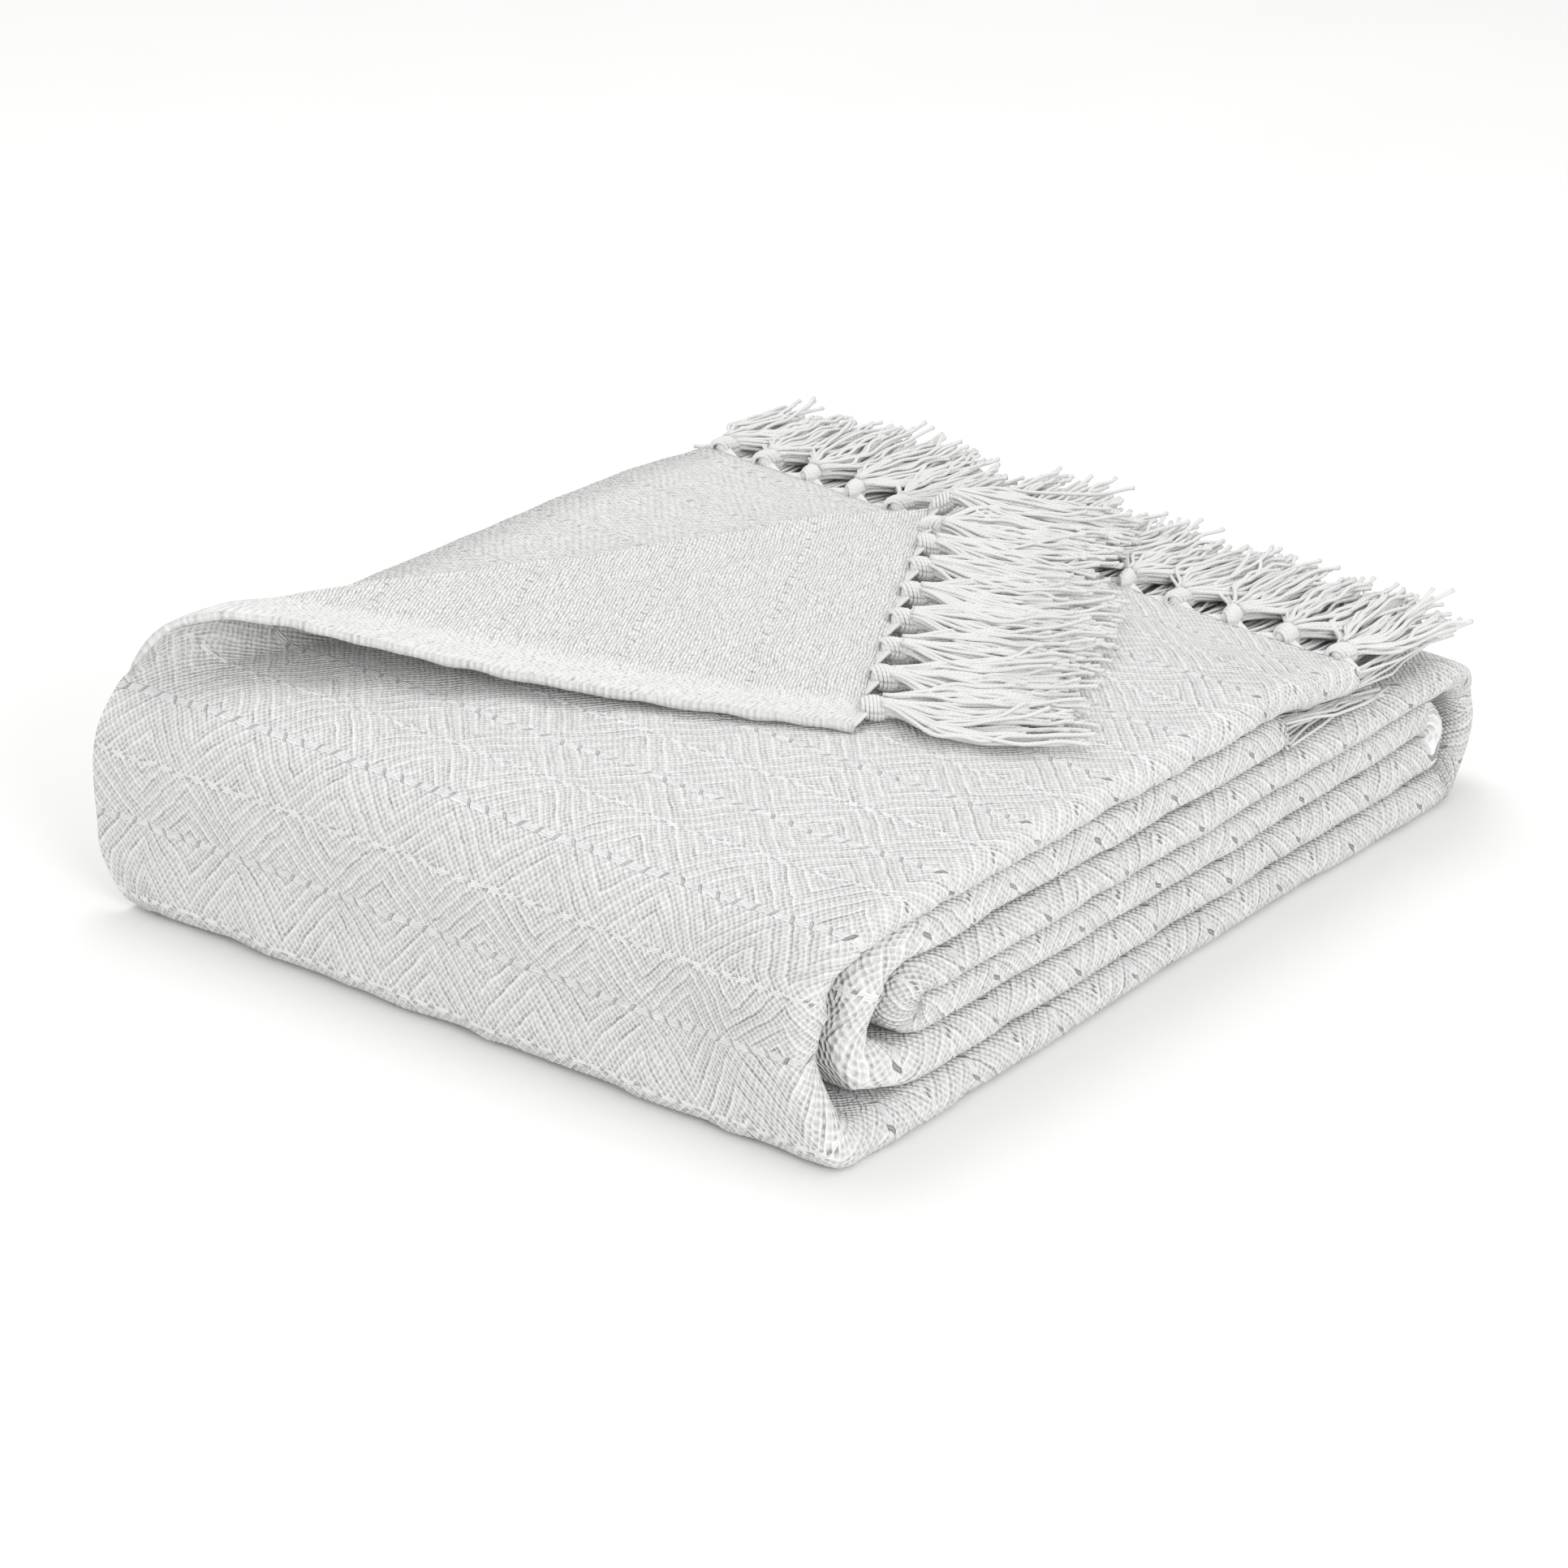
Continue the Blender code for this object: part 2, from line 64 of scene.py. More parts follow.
# The fold along the cloth from the fringe end, section by section: a straight run has a level in ridge
# heights, a turn a centre height and a radius in ridge heights
sections = (
    dict(level=5.5, start=pile["topEndY"], end=pile["curlMouthY"], steps=66),  # top run
    dict(level=5.5, start=pile["curlMouthY"], end=pile["leftOuterY"], steps=24),  # top run at the curl
    dict(y=pile["leftOuterY"], level=3.0, radius=2.5, start=90.0, end=270.0, steps=36),  # left wrap
    dict(level=0.5, start=pile["leftOuterY"], end=pile["rightOuterY"], steps=34),  # bottom run
    dict(y=pile["rightOuterY"], level=2.0, radius=1.5, start=-90.0, end=90.0, steps=14),  # right wrap
    dict(level=3.5, start=pile["rightOuterY"], end=pile["halfFoldY"], steps=36),  # third ridge
    dict(y=pile["halfFoldY"], level=3.0, radius=0.5, start=90.0, end=270.0, steps=8),  # half fold
    dict(level=2.5, start=pile["halfFoldY"], end=pile["rightInnerY"], steps=32),  # fourth ridge
    dict(y=pile["rightInnerY"], level=2.0, radius=0.5, start=90.0, end=-90.0, steps=8),
    dict(level=1.5, start=pile["rightInnerY"], end=pile["leftSecondY"], steps=32),  # fifth ridge
    dict(y=pile["leftSecondY"], level=3.0, radius=1.5, start=270.0, end=90.0, steps=14),
    dict(level=4.5, start=pile["leftSecondY"], end=pile["innerEndY"], steps=26),  # second ridge
)

# Steps from the selvedge of the top ply, round the folds, to the selvedge of the second ply
widthSteps = dict(turnedPart=24, curl=16, topPly=32, outerQuarterFold=16, lowestPly=5, leftQuarterFold=5,
                  thirdPly=4, innerQuarterFold=6, secondPly=16)
topPlyEnd = 3.0  # the top ply lies before this station, the second ply after the other
secondPlyStart = 8.0

overhang = dict(along=(0.0, 290.0, 345.0, 370.0, 400.0, 2200.0), past=(101.8, 4.4, 5.0, 4.0, 1.0, 0.0))
ridgeReach = dict(level=(0.0, 0.5, 1.5, 2.5, 3.5, 4.5, 5.5, 6.2),
                  out=(3.0, 2.6, -1.0, -2.5, 1.5, -4.5, 0.0, 0.0))


# Rows of values as dictionaries, under the names in a string
def table(names, *rows):
    return [dict(zip(names.split(), row)) for row in rows]


# Eases from 0 to 1: 3 t squared less 2 t cubed
def smooth(value):
    t = np.clip(value, 0.0, 1.0)
    return t * t * (3.0 - 2.0 * t)


# A vector over its length
def unit(vector):
    return vector / np.linalg.norm(vector, axis=-1, keepdims=True)


# A soft bump of height 1: e to the power of minus the square of distance over width
def hump(distance, width):
    return np.exp(-(distance / width) ** 2)


# Length of a run, or radius times the turned angle of a turn, its radius wider by the given offset
def sectionLength(section, offset=0.0):
    if "radius" not in section:
        return abs(section["end"] - section["start"])
    turned = math.radians(section["end"] - section["start"])
    return abs(turned) * section["radius"] * ridge + turned * offset


starts = np.concatenate([[0.0], np.cumsum([sectionLength(s) for s in sections])])


# Middle line of the four plies: straight runs, and turns as centre plus radius times (cos, sin)
def middleLine(along):
    y, z, faceY, faceZ = (np.zeros_like(along) for _ in range(4))
    index = np.clip(np.searchsorted(starts, along, side="right") - 1, 0, len(sections) - 1)
    for i, section in enumerate(sections):
        here = index == i
        span = section["end"] - section["start"]
        sense = math.copysign(1.0, span)
        reached = section["start"] + span * ((along[here] - starts[i]) / sectionLength(section))
        if "radius" not in section:
            y[here] = reached
            z[here] = section["level"] * ridge
            faceZ[here] = -sense
        else:
            angle = np.radians(reached)
            y[here] = section["y"] + section["radius"] * ridge * np.cos(angle)
            z[here] = (section["level"] + section["radius"] * np.sin(angle)) * ridge
            faceY[here] = sense * np.cos(angle)
            faceZ[here] = sense * np.sin(angle)
    return y, z, faceY, faceZ


# A point at width x and run along, raised from the middle line by height on its face side
def place(x, along, height):
    y, z, faceY, faceZ = middleLine(along)
    return np.stack([x, y + faceY * height, z + faceZ * height], -1)


# Unit direction at an angle in degrees: cosine and sine
def direction(angle):
    return np.array([math.cos(math.radians(angle)), math.sin(math.radians(angle))])


creaseDir = direction(corner["creaseAngle"])
creaseSide = np.array([creaseDir[1], -creaseDir[0]])
flapDir = direction(corner["flapAngle"])
creaseSlope = creaseDir[0] / creaseDir[1]
inRate = (-creaseDir[0], -creaseSide[0])
outRate = (float(flapDir @ creaseDir), float(-(flapDir @ creaseSide)))


# Radius of the curl: small at the short end, growing with the power 2.5 of the run along the crease
def curlRadius(run):
    grown = np.clip(run / corner["curlReach"], 0.0, 1.0) ** 2.5
    return corner["curlSmall"] + (corner["curlLarge"] - corner["curlSmall"]) * grown


# Height of the turned part: two radii at the curl, easing down as half a cosine to its rest height
def flapHeight(run, across):
    radius = curlRadius(run)
    quarter = 0.5 * math.pi * radius
    settled = 0.5 + 0.5 * np.cos(math.pi * np.clip((across - quarter) / corner["flapSettle"], 0.0, 1.0))
    return corner["flapRest"] + (2.0 * radius - corner["flapRest"]) * settled


# Top ply with its corner rolled over: before the crease flat, then half a circle, then back over the top.
# The change of direction at the crease is a soft step, softness times log(1 + e to the past over softness).
# Past curlEnd the curled place eases into the level one.
def topPly(reach, along):
    past = reach + corner["creaseX"] - creaseSlope * along
    blend = corner["softness"] * np.logaddexp(0.0, past / corner["softness"])
    run = along / -creaseDir[1] + inRate[0] * past + (outRate[0] - inRate[0]) * blend
    across = inRate[1] * past + (outRate[1] - inRate[1]) * blend
    radius = curlRadius(run)
    quarter = 0.5 * math.pi * radius
    turn = np.clip((across + quarter) / radius, 0.0, math.pi)
    side = np.where(across > quarter, -across, np.minimum(across, -quarter) + radius * np.sin(turn))
    lift = np.where(across > quarter, flapHeight(run, across), radius * (1.0 - np.cos(turn)))
    x = corner["creaseX"] + run * creaseDir[0] + side * creaseSide[0]
    y = pile["topEndY"] + run * creaseDir[1] + side * creaseSide[1]
    curled = place(x, pile["topEndY"] - y, 1.5 * pile["plyPitch"] + lift)
    level = place(-reach, along, np.full_like(reach, 1.5 * pile["plyPitch"]))
    lying = smooth((along - corner["curlEnd"]) / corner["curlRunOut"])[..., None]
    return curled + (level - curled) * lying


# Reach of the top ply's selvedge from the face of folds: a slanted line while turned, then the pile's depth
def rowEnd(along):
    turned = -corner["creaseX"] + creaseSlope * along + corner["flapLength"] - corner["flapTaper"] * along
    straight = pile["depth"] + np.interp(along, overhang["along"], overhang["past"])
    return np.where(along < corner["turnedRun"], turned, straight)


# Middle surface of the sheet and its flat width coordinate. The whole part of station counts widthSteps.
def clothSurface(station, along):
    piece = np.clip(np.floor(station), 0, len(widthSteps) - 1).astype(int)
    part = station - piece
    end = rowEnd(along)
    crease = -corner["creaseX"] + creaseSlope * along
    quarter = 0.5 * math.pi * curlRadius(along / -creaseDir[1])
    before = np.minimum(crease - quarter / inRate[1] - corner["curlClear"], end - corner["turnedLeast"])
    after = np.minimum(crease + quarter / outRate[1] + corner["curlClear"],
                       before + corner["curlShare"] * (end - before))
    stops = [end, after, before, np.full_like(end, -pile["outerFoldX"])]
    point = np.zeros(station.shape + (3,))
    flat = np.zeros(station.shape)
    for i in range(3):
        here = piece == i
        flat[here] = (stops[i] + (stops[i + 1] - stops[i]) * part)[here]
        point[here] = topPly(flat[here], along[here])
    half = 0.5 * pile["plyPitch"]
    turn = np.pi * part
    outer, inner, left, lower = (pile[k] for k in ("outerFoldX", "innerFoldX", "leftFoldX", "lowerEdgeX"))
    shapes = (
        (outer + 3.0 * half * np.sin(turn), 3.0 * half * np.cos(turn), 3.0 * half * math.pi),
        (outer + (left - outer) * part, -3.0 * half, outer - left),
        (left - half * np.sin(turn), -2.0 * half - half * np.cos(turn), half * math.pi),
        (left + (inner - left) * part, -half, inner - left),
        (inner + half * np.sin(turn), -half * np.cos(turn), half * math.pi),
        (inner + (lower - inner) * part, half, inner - lower),
    )
    gone = -outer
    for i, (x, offset, span) in enumerate(shapes):
        here = piece == i + 3
        point[here] = place(x[here], along[here], np.broadcast_to(offset, part.shape)[here])
        flat[here] = gone - span * part[here]
        gone -= span
    return point, flat


# How far the pile settles, in millimetres. A pair is where a change begins and the signed length it takes.
settling = dict(
    squareUpper=2.6,  # squareness of the left wrap above its middle, 2 is round
    squareLower=8.0,
    ridgesMore=0.4,  # ridges stand out more near the left wrap
    ridgesMost=60.0, ridgesWave=55.0, ridgesX=(-90.0, 80.0),
    cornerIn=14.0,  # the face of folds draws in at the near corner
    cornerY=(75.0, -75.0),
    endSag=9.0,  # how far the fringe end sinks, and its first part at the cloth's edge
    endSagFirst=4.0,
    rightSag=5.0,  # the part of the sag that comes early at the face of folds
    sagFirstY=(272.0, 70.0), sagY=(325.0, 90.0), rightBack=9.0, rightBackY=(245.0, 85.0),
    wrapIn=14.0,  # the right wrap curves in towards the floor
    wrapY=(383.0, 36.0), wrapRise=(2.0, -2.0), wave=0.7, fullerY=0.03, fullerX=0.05, backIn=14.0,
    backX=(-315.0, -35.0), backY=(45.0, -50.0), backRise=(1.8, -1.8), rightSkew=0.025,
    rightSkewY=(120.0, 200.0), leftSkew=0.03, leftSkewY=(160.0, -140.0),
    footOut=4.0,  # the foot of the left wrap
    footRise=(2.5, -2.5), footY=(110.0, -90.0),
)


# Eases from 0 where a pair begins to 1 at its end
def comesIn(value, pair):
    return smooth((value - pair[0]) / pair[1])


# Softens the neat pile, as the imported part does: left wrap squared off, ridges in and out, fringe end
# sagging, back fuller. Every point moves by smooth functions of its own place.
def settle(point):
    s = settling
    x, y, z = point[..., 0].copy(), point[..., 1].copy(), point[..., 2].copy()
    dy = np.maximum(pile["leftOuterY"] - y, 0.0)
    dz = z - 3.0 * ridge
    size = np.hypot(dy, dz) + 1e-9
    power = np.where(dz > 0.0, s["squareUpper"], s["squareLower"])
    square = ((dy / size) ** power + np.abs(dz / size) ** power) ** (-1.0 / power)
    square = np.where(dy > 0.0, square, 1.0)
    y = np.where(dy > 0.0, pile["leftOuterY"] - dy * square, y)
    z = np.where(dy > 0.0, 3.0 * ridge + dz * square, z)
    rise = (z - floorLevel) / ridge
    out = np.interp(rise, ridgeReach["level"], ridgeReach["out"])
    ends = 1.0 + s["ridgesMore"] * np.cos((y - s["ridgesMost"]) / s["ridgesWave"])
    near = comesIn(y, s["cornerY"]) * np.sin(math.pi * np.clip(rise / 6.0, 0.0, 1.0)) ** 2
    x = x + (out * ends - s["cornerIn"] * near) * comesIn(x, s["ridgesX"])
    over = np.clip(rise - 4.0, 0.0, 1.0)
    right = np.clip(1.0 + x / pile["depth"], 0.0, 1.1)
    first = (s["endSagFirst"] + s["rightSag"] * right) * comesIn(y, s["sagFirstY"])
    second = (s["endSag"] - s["rightSag"] * right) * comesIn(y, s["sagY"])
    z = z - (first + second) * over
    y = y - s["rightBack"] * right * comesIn(y, s["rightBackY"]) * over
    y = y - s["wrapIn"] * comesIn(y, s["wrapY"]) * comesIn(rise, s["wrapRise"])
    share = np.clip(rise / 6.0, 0.0, 1.2)
    z = z + share * s["wave"] * np.sin(x / 47.0 + 0.6) * np.sin(y / 58.0 + 1.1)
    fuller = 1.0 + s["fullerY"] * smooth(y / 120.0) + s["fullerX"] * smooth(-x / pile["depth"])
    z = (z - floorLevel) * fuller
    y = y - s["rightSkew"] * x * comesIn(y, s["rightSkewY"])
    x = x + s["backIn"] * comesIn(x, s["backX"]) * comesIn(y, s["backY"]) * comesIn(rise, s["backRise"])
    y = y + (s["leftSkew"] * x - 2.0) * comesIn(y, s["leftSkewY"])
    y = y - s["footOut"] * comesIn(rise, s["footRise"]) * comesIn(y, s["footY"])
    return np.stack([x, y, z], -1)


# From the pile's own place in millimetres to the frame in metres
def toFrame(point):
    return (point - np.array(pile["centre"])) * mm


# sRGB hex to linear: the sRGB curve undone, per channel
def linear(code):
    channels = [int(code[i:i + 2], 16) / 255.0 for i in (1, 3, 5)]
    return tuple(c / 12.92 if c <= 0.04045 else ((c + 0.055) / 1.055) ** 2.4 for c in channels) + (1.0,)


# Adds one node with its settings, and its inputs as values or links
def addNode(tree, kind, inputs=(), **settings):
    node = tree.nodes.new(kind)
    for name, value in settings.items():
        setattr(node, name, value)
    for name, value in dict(inputs).items():
        if isinstance(value, bpy.types.NodeSocket):
            tree.links.new(value, node.inputs[name])
        else:
            node.inputs[name].default_value = value
    return node


# Works a list of named sums out as Math nodes: each row is its name, the operation and what goes in.
# A sum with the word clamped before its operation is kept from 0 to 1.
def addSums(tree, known, rows):
    for name, operation, *values in rows:
        inputs = {i: known[v] if isinstance(v, str) else v for i, v in enumerate(values)}
        clamped = operation.startswith("clamped ")
        known[name] = addNode(tree, "ShaderNodeMath", inputs, operation=operation.removeprefix("clamped "),
                              use_clamp=clamped).outputs[0]
    return known


# A ramp of grey or colour through the given (place, value) stops
def setRamp(ramp, stops, ease="LINEAR"):
    ramp.interpolation = ease
    while len(ramp.elements) < len(stops):
        ramp.elements.new(0.5)
    for element, (at, value) in zip(ramp.elements, stops):
        element.position = at
        element.color = linear(value) if isinstance(value, str) else (value, value, value, 1.0)


# A new material and its node tree
def newMaterial(name):
    made = bpy.data.materials.new(name)
    made.use_nodes = True
    return made, made.node_tree


# Links colour and bump to the shader and sets its own sockets
def finishShader(tree, tone, bump, sockets):
    shader = tree.nodes["Principled BSDF"]
    tree.links.new(tone.outputs["Color"], shader.inputs["Base Color"])
    if bump:
        tree.links.new(bump.outputs["Normal"], shader.inputs["Normal"])
    for name, value in sockets.items():
        shader.inputs[name].default_value = value


# The weave, lengths in millimetres
weave = dict(
    diamondWidth=49.2,  # repeat across the cloth
    diamondHeight=48.6,  # repeat along it
    ribs=3.0,  # ribs from a diamond's centre to its corner
    dots=9.0,  # thread crossings from centre to corner, coarser than real ones so that they show
    acrossStart=108.5,  # centre of one diamond
    alongStart=365.5, reverseStart=93.0,
    rowHalf=1.75,  # half height of a row of dashes
    rowGain=2.2,  # steepness of its edges
    relief=1.15,  # height of the weave
    bend=3.4,  # how far the threads wander, in wide waves and in fine ones
    tremble=1.4,
    bendScale=38.0,  # noise scales to the metre: 26 mm and 4 mm waves, 11 mm patches, 1 mm fuzz
    trembleScale=260.0, patchScale=90.0, fuzzScale=900.0, fuzz=0.5,
)
halfWidth = 0.5 * weave["diamondWidth"]
halfHeight = 0.5 * weave["diamondHeight"]
halfSlot = 0.5 * halfWidth / weave["ribs"]
cottonSockets = {"Roughness": 0.92, "Specular IOR Level": 0.2, "Sheen Weight": 0.15, "Sheen Roughness": 0.6}

# Bleached cotton, woven in diamonds: near white, with painted shade, warm grey, in the gaps and pinholes
# between yarns, and a painted highlight, a lighter white, on the highest yarn tops
cottonColoursWithShadeAndHighlight = dict(holeShade="#a2a29d", gap="#cdcdca", low="#dfdfdd", yarn="#e9e9e8", top="#f3f3f3")


# The diamond repeat. Distances from the nearest diamond centre, over the rib pitch, give the rib count, whose
# fraction is the place between two ribs. Three thread crossings to a rib: cosines along and across it.
def weaveSums(tree, alongStart):
    mean = 0.5 * (weave["bend"] + weave["tremble"])
    grain = 2.0 * math.pi * weave["dots"] / weave["ribs"]
    flat = addNode(tree, "ShaderNodeUVMap", uv_map="flat").outputs["UV"]
    place = addNode(tree, "ShaderNodeSeparateXYZ", {"Vector": flat})
    known = dict(x=place.outputs["X"], y=place.outputs["Y"])
    for name, detail in (("bend", 2.0), ("tremble", 1.0), ("patch", 1.0)):
        noise = addNode(tree, "ShaderNodeTexNoise", {
            "Vector": flat, "Scale": weave[name + "Scale"], "Detail": detail})
        parts = addNode(tree, "ShaderNodeSeparateColor", {"Color": noise.outputs["Color"]})
        known[name + "X"], known[name + "Y"] = parts.outputs[0], parts.outputs[1]
        known[name] = noise.outputs["Fac"]
    return addSums(tree, known, (
        ("acrossBend", "MULTIPLY_ADD", "bendX", weave["bend"], -mean - weave["acrossStart"]),
        ("alongBend", "MULTIPLY_ADD", "bendY", weave["bend"], -mean - alongStart),
        ("acrossFine", "MULTIPLY_ADD", "trembleX", weave["tremble"], "acrossBend"),
        ("alongFine", "MULTIPLY_ADD", "trembleY", weave["tremble"], "alongBend"),
        ("across", "MULTIPLY_ADD", "x", 1000.0, "acrossFine"),
        ("along", "MULTIPLY_ADD", "y", 1000.0, "alongFine"),
        ("fromU", "PINGPONG", "across", halfWidth),
        ("signedV", "WRAP", "along", halfHeight, -halfHeight),
        ("fromV", "ABSOLUTE", "signedV"),
        ("ribU", "MULTIPLY", "fromU", weave["ribs"] / halfWidth),
        ("ribV", "MULTIPLY", "fromV", weave["ribs"] / halfHeight),
        ("rib", "ADD", "ribU", "ribV"),
        ("ribCross", "SUBTRACT", "ribU", "ribV"),
        ("grainAngle", "MULTIPLY", "rib", grain),
        ("crossAngle", "MULTIPLY", "ribCross", grain),
        ("grainWave", "COSINE", "grainAngle"),
        ("crossWave", "COSINE", "crossAngle"),
        ("bothWaves", "ADD", "grainWave", "crossWave"),
        ("dots", "MULTIPLY", "bothWaves", 0.5),
        ("strongRow", "SUBTRACT", weave["rowHalf"], "fromV"),
        ("strong", "MULTIPLY", "strongRow", weave["rowGain"]),
    ))


# The finish that both sides share: height and fuzz to colour and to bump, rough and faintly sheened. The
# colour ramp paints shade into the low places and a highlight onto the highest ones
def finishCotton(tree, height, relief):
    place = addNode(tree, "ShaderNodeTexCoord").outputs["Object"]
    fuzz = addNode(tree, "ShaderNodeTexNoise", {"Vector": place, "Scale": weave["fuzzScale"], "Detail": 2.0})
    known = addSums(tree, dict(fuzz=fuzz.outputs["Fac"], height=height), (
        ("rough", "MULTIPLY_ADD", "fuzz", weave["fuzz"], "height"),
        ("tone", "SUBTRACT", "rough", 0.15),
    ))
    # painted shade and highlight: low heights take the darker greys, the highest a lighter white
    tone = addNode(tree, "ShaderNodeValToRGB", {"Fac": known["tone"]})
    setRamp(tone.color_ramp, tuple(zip((0.0, 0.16, 0.42, 0.66, 0.95), cottonColoursWithShadeAndHighlight.values())))
    bump = addNode(tree, "ShaderNodeBump", {
        "Height": known["rough"], "Distance": relief * mm, "Strength": 1.0})
    finishShader(tree, tone, bump, cottonSockets)


# The face: how ribs and pinholes change out from the middle of the folds, in patches and along the front
faceValues = dict(
    foldMiddle=2.0,
    ribMost=0.5,  # depth of the ribs beside the ridges, and its loss to the millimetre
    ribLoss=0.009,
    ribGain=0.04,  # growth to the millimetre on the ridges, from the next distance out
    ribBare=9.0, ribLeast=0.04, patchGain=2.2, patchOff=0.92,
    frontStart=300.0,  # run along the cloth
    frontLength=70.0, frontDepth=0.2,
    pinEnd=13.75,  # pinholes end this far out, fading over the next length
    pinFade=6.25, pinGain=4.0, pinOff=1.4, pinDepth=0.7, slotSlant=0.55, slotHalf=0.35, slotGain=1.8,
    weakerRow=0.4,  # every second row of dashes is this much narrower
    weakerGain=1.4,
    floatPitch=1.05,  # weft yarns side by side in a dash
    # the dash tops reach the lightest grey of the tone ramp, a painted highlight
    dashHigh=0.94, dashWave=0.2,
)


# Woven cotton, face: fine grain, slanted ribs in diamonds that come and go, rows of bright dashes with dark
# slots between them, pinholes where the fold pulls the slots open. Each is a wave or ramp of the place in
# the repeat times a share by the place in the cloth. The height also sets the colour: the dark slots and
# pinholes are painted shade, the bright dashes a painted highlight.
def clothFace():
    made, tree = newMaterial("wovenCottonFace")
    f = faceValues
    frontLength = f["frontLength"]
    known = weaveSums(tree, weave["alongStart"])
    ribPart = addNode(tree, "ShaderNodeMath", {0: known["rib"]}, operation="FRACT").outputs[0]
    ribShape = addNode(tree, "ShaderNodeValToRGB", {"Fac": ribPart})
    setRamp(ribShape.color_ramp, ((0.0, 0.5), (0.4, 0.5), (0.48, 0.1), (0.52, 0.14), (0.62, 0.7),
                                  (0.78, 0.62), (0.9, 0.5)), "EASE")
    dotShare = addNode(tree, "ShaderNodeValToRGB", {"Fac": ribPart})
    setRamp(dotShare.color_ramp, ((0.0, 0.5), (0.4, 0.5), (0.52, 0.36), (0.62, 0.28), (0.8, 0.34),
                                  (0.95, 0.5)))
    known["ribShape"] = ribShape.outputs["Color"]
    known["dotShare"] = dotShare.outputs["Color"]
    addSums(tree, known, (
        ("weakRow", "ADD", "fromV", weave["rowHalf"] - f["weakerRow"] - halfHeight),
        ("weak", "MULTIPLY", "weakRow", f["weakerGain"]),
        ("row", "clamped MAXIMUM", "strong", "weak"),
        ("floatAngle", "MULTIPLY", "signedV", 2.0 * math.pi / f["floatPitch"]),
        ("floatWave", "COSINE", "floatAngle"),
        ("ribOff", "SUBTRACT", "ribShape", 0.5),
        ("foldPlace", "MULTIPLY_ADD", "x", 1000.0, f["foldMiddle"]),
        ("foldAway", "ABSOLUTE", "foldPlace"),
        ("foldFade", "MULTIPLY_ADD", "foldAway", -f["ribLoss"], f["ribMost"]),
        ("foldGrow", "MULTIPLY_ADD", "foldAway", f["ribGain"], -f["ribGain"] * f["ribBare"]),
        ("foldBoth", "MINIMUM", "foldFade", "foldGrow"),
        ("foldRibs", "MAXIMUM", "foldBoth", 0.0),
        ("patchDepth", "MULTIPLY_ADD", "patch", f["patchGain"], -f["patchOff"]),
        ("ribFloor", "MAXIMUM", "patchDepth", f["ribLeast"]),
        ("front", "clamped MULTIPLY_ADD", "y", 1000.0 / frontLength, -f["frontStart"] / frontLength),
        ("openRibs", "ADD", "ribFloor", "foldRibs"),
        ("ribDepth", "MULTIPLY_ADD", "front", f["frontDepth"], "openRibs"),
        ("ribs", "MULTIPLY_ADD", "ribOff", "ribDepth", 0.5),
        ("foldPins", "clamped MULTIPLY_ADD", "foldAway", -1.0 / f["pinFade"], f["pinEnd"] / f["pinFade"]),
        ("pinOpen", "clamped MULTIPLY_ADD", "patch", f["pinGain"], -f["pinOff"]),
        ("body", "MULTIPLY_ADD", "dots", "dotShare", "ribs"),
        ("slotSeat", "ADD", "fromU", halfSlot),
        ("slotPlace", "MULTIPLY_ADD", "signedV", f["slotSlant"], "slotSeat"),
        ("slotAway", "PINGPONG", "slotPlace", halfSlot),
        ("slotEdge", "SUBTRACT", "slotAway", f["slotHalf"]),
        ("slotShut", "clamped MULTIPLY", "slotEdge", f["slotGain"]),
        ("dashTop", "MULTIPLY_ADD", "floatWave", f["dashWave"], f["dashHigh"]),
        ("dash", "MULTIPLY", "dashTop", "slotShut"),
        ("slotOpen", "SUBTRACT", 1.0, "slotShut"),
        ("rowOpen", "MULTIPLY", "slotOpen", "row"),
        ("foldOpen", "MULTIPLY", "foldPins", "pinOpen"),
        ("pinhole", "MULTIPLY", "rowOpen", "foldOpen"),
    ))
    known["height"] = addNode(tree, "ShaderNodeMix", {
        "Factor": known["row"], "A": known["body"], "B": known["dash"]}).outputs[0]
    # sinking the pinholes takes them to the darkest grey of the tone ramp, painted shade
    addSums(tree, known, (("pulled", "MULTIPLY_ADD", "pinhole", -f["pinDepth"], "height"),))
    finishCotton(tree, known["pulled"], weave["relief"])
    return made


# The reverse, its bands by the distance from the selvedge
reverseValues = dict(
    stretch=(1.0, 2.6, 1.0),  # yarns differ more from row to row than along one
    yarnScale=240.0, yarnShare=0.9, yarnOff=0.62, slotSlant=0.4, slotGain=1.6, slotOff=0.2, slotLeast=0.35,
    plainStart=26.0, plainEnd=12.0, plainGrain=0.2, plainHigh=0.5, hemStart=6.5, hemEnd=4.5, hemPitch=2.6,
    hemLean=0.35, hemGrain=0.3, hemHigh=0.52, rowGrain=0.62, rowLow=0.34,
    relief=0.75,  # to the face's
)


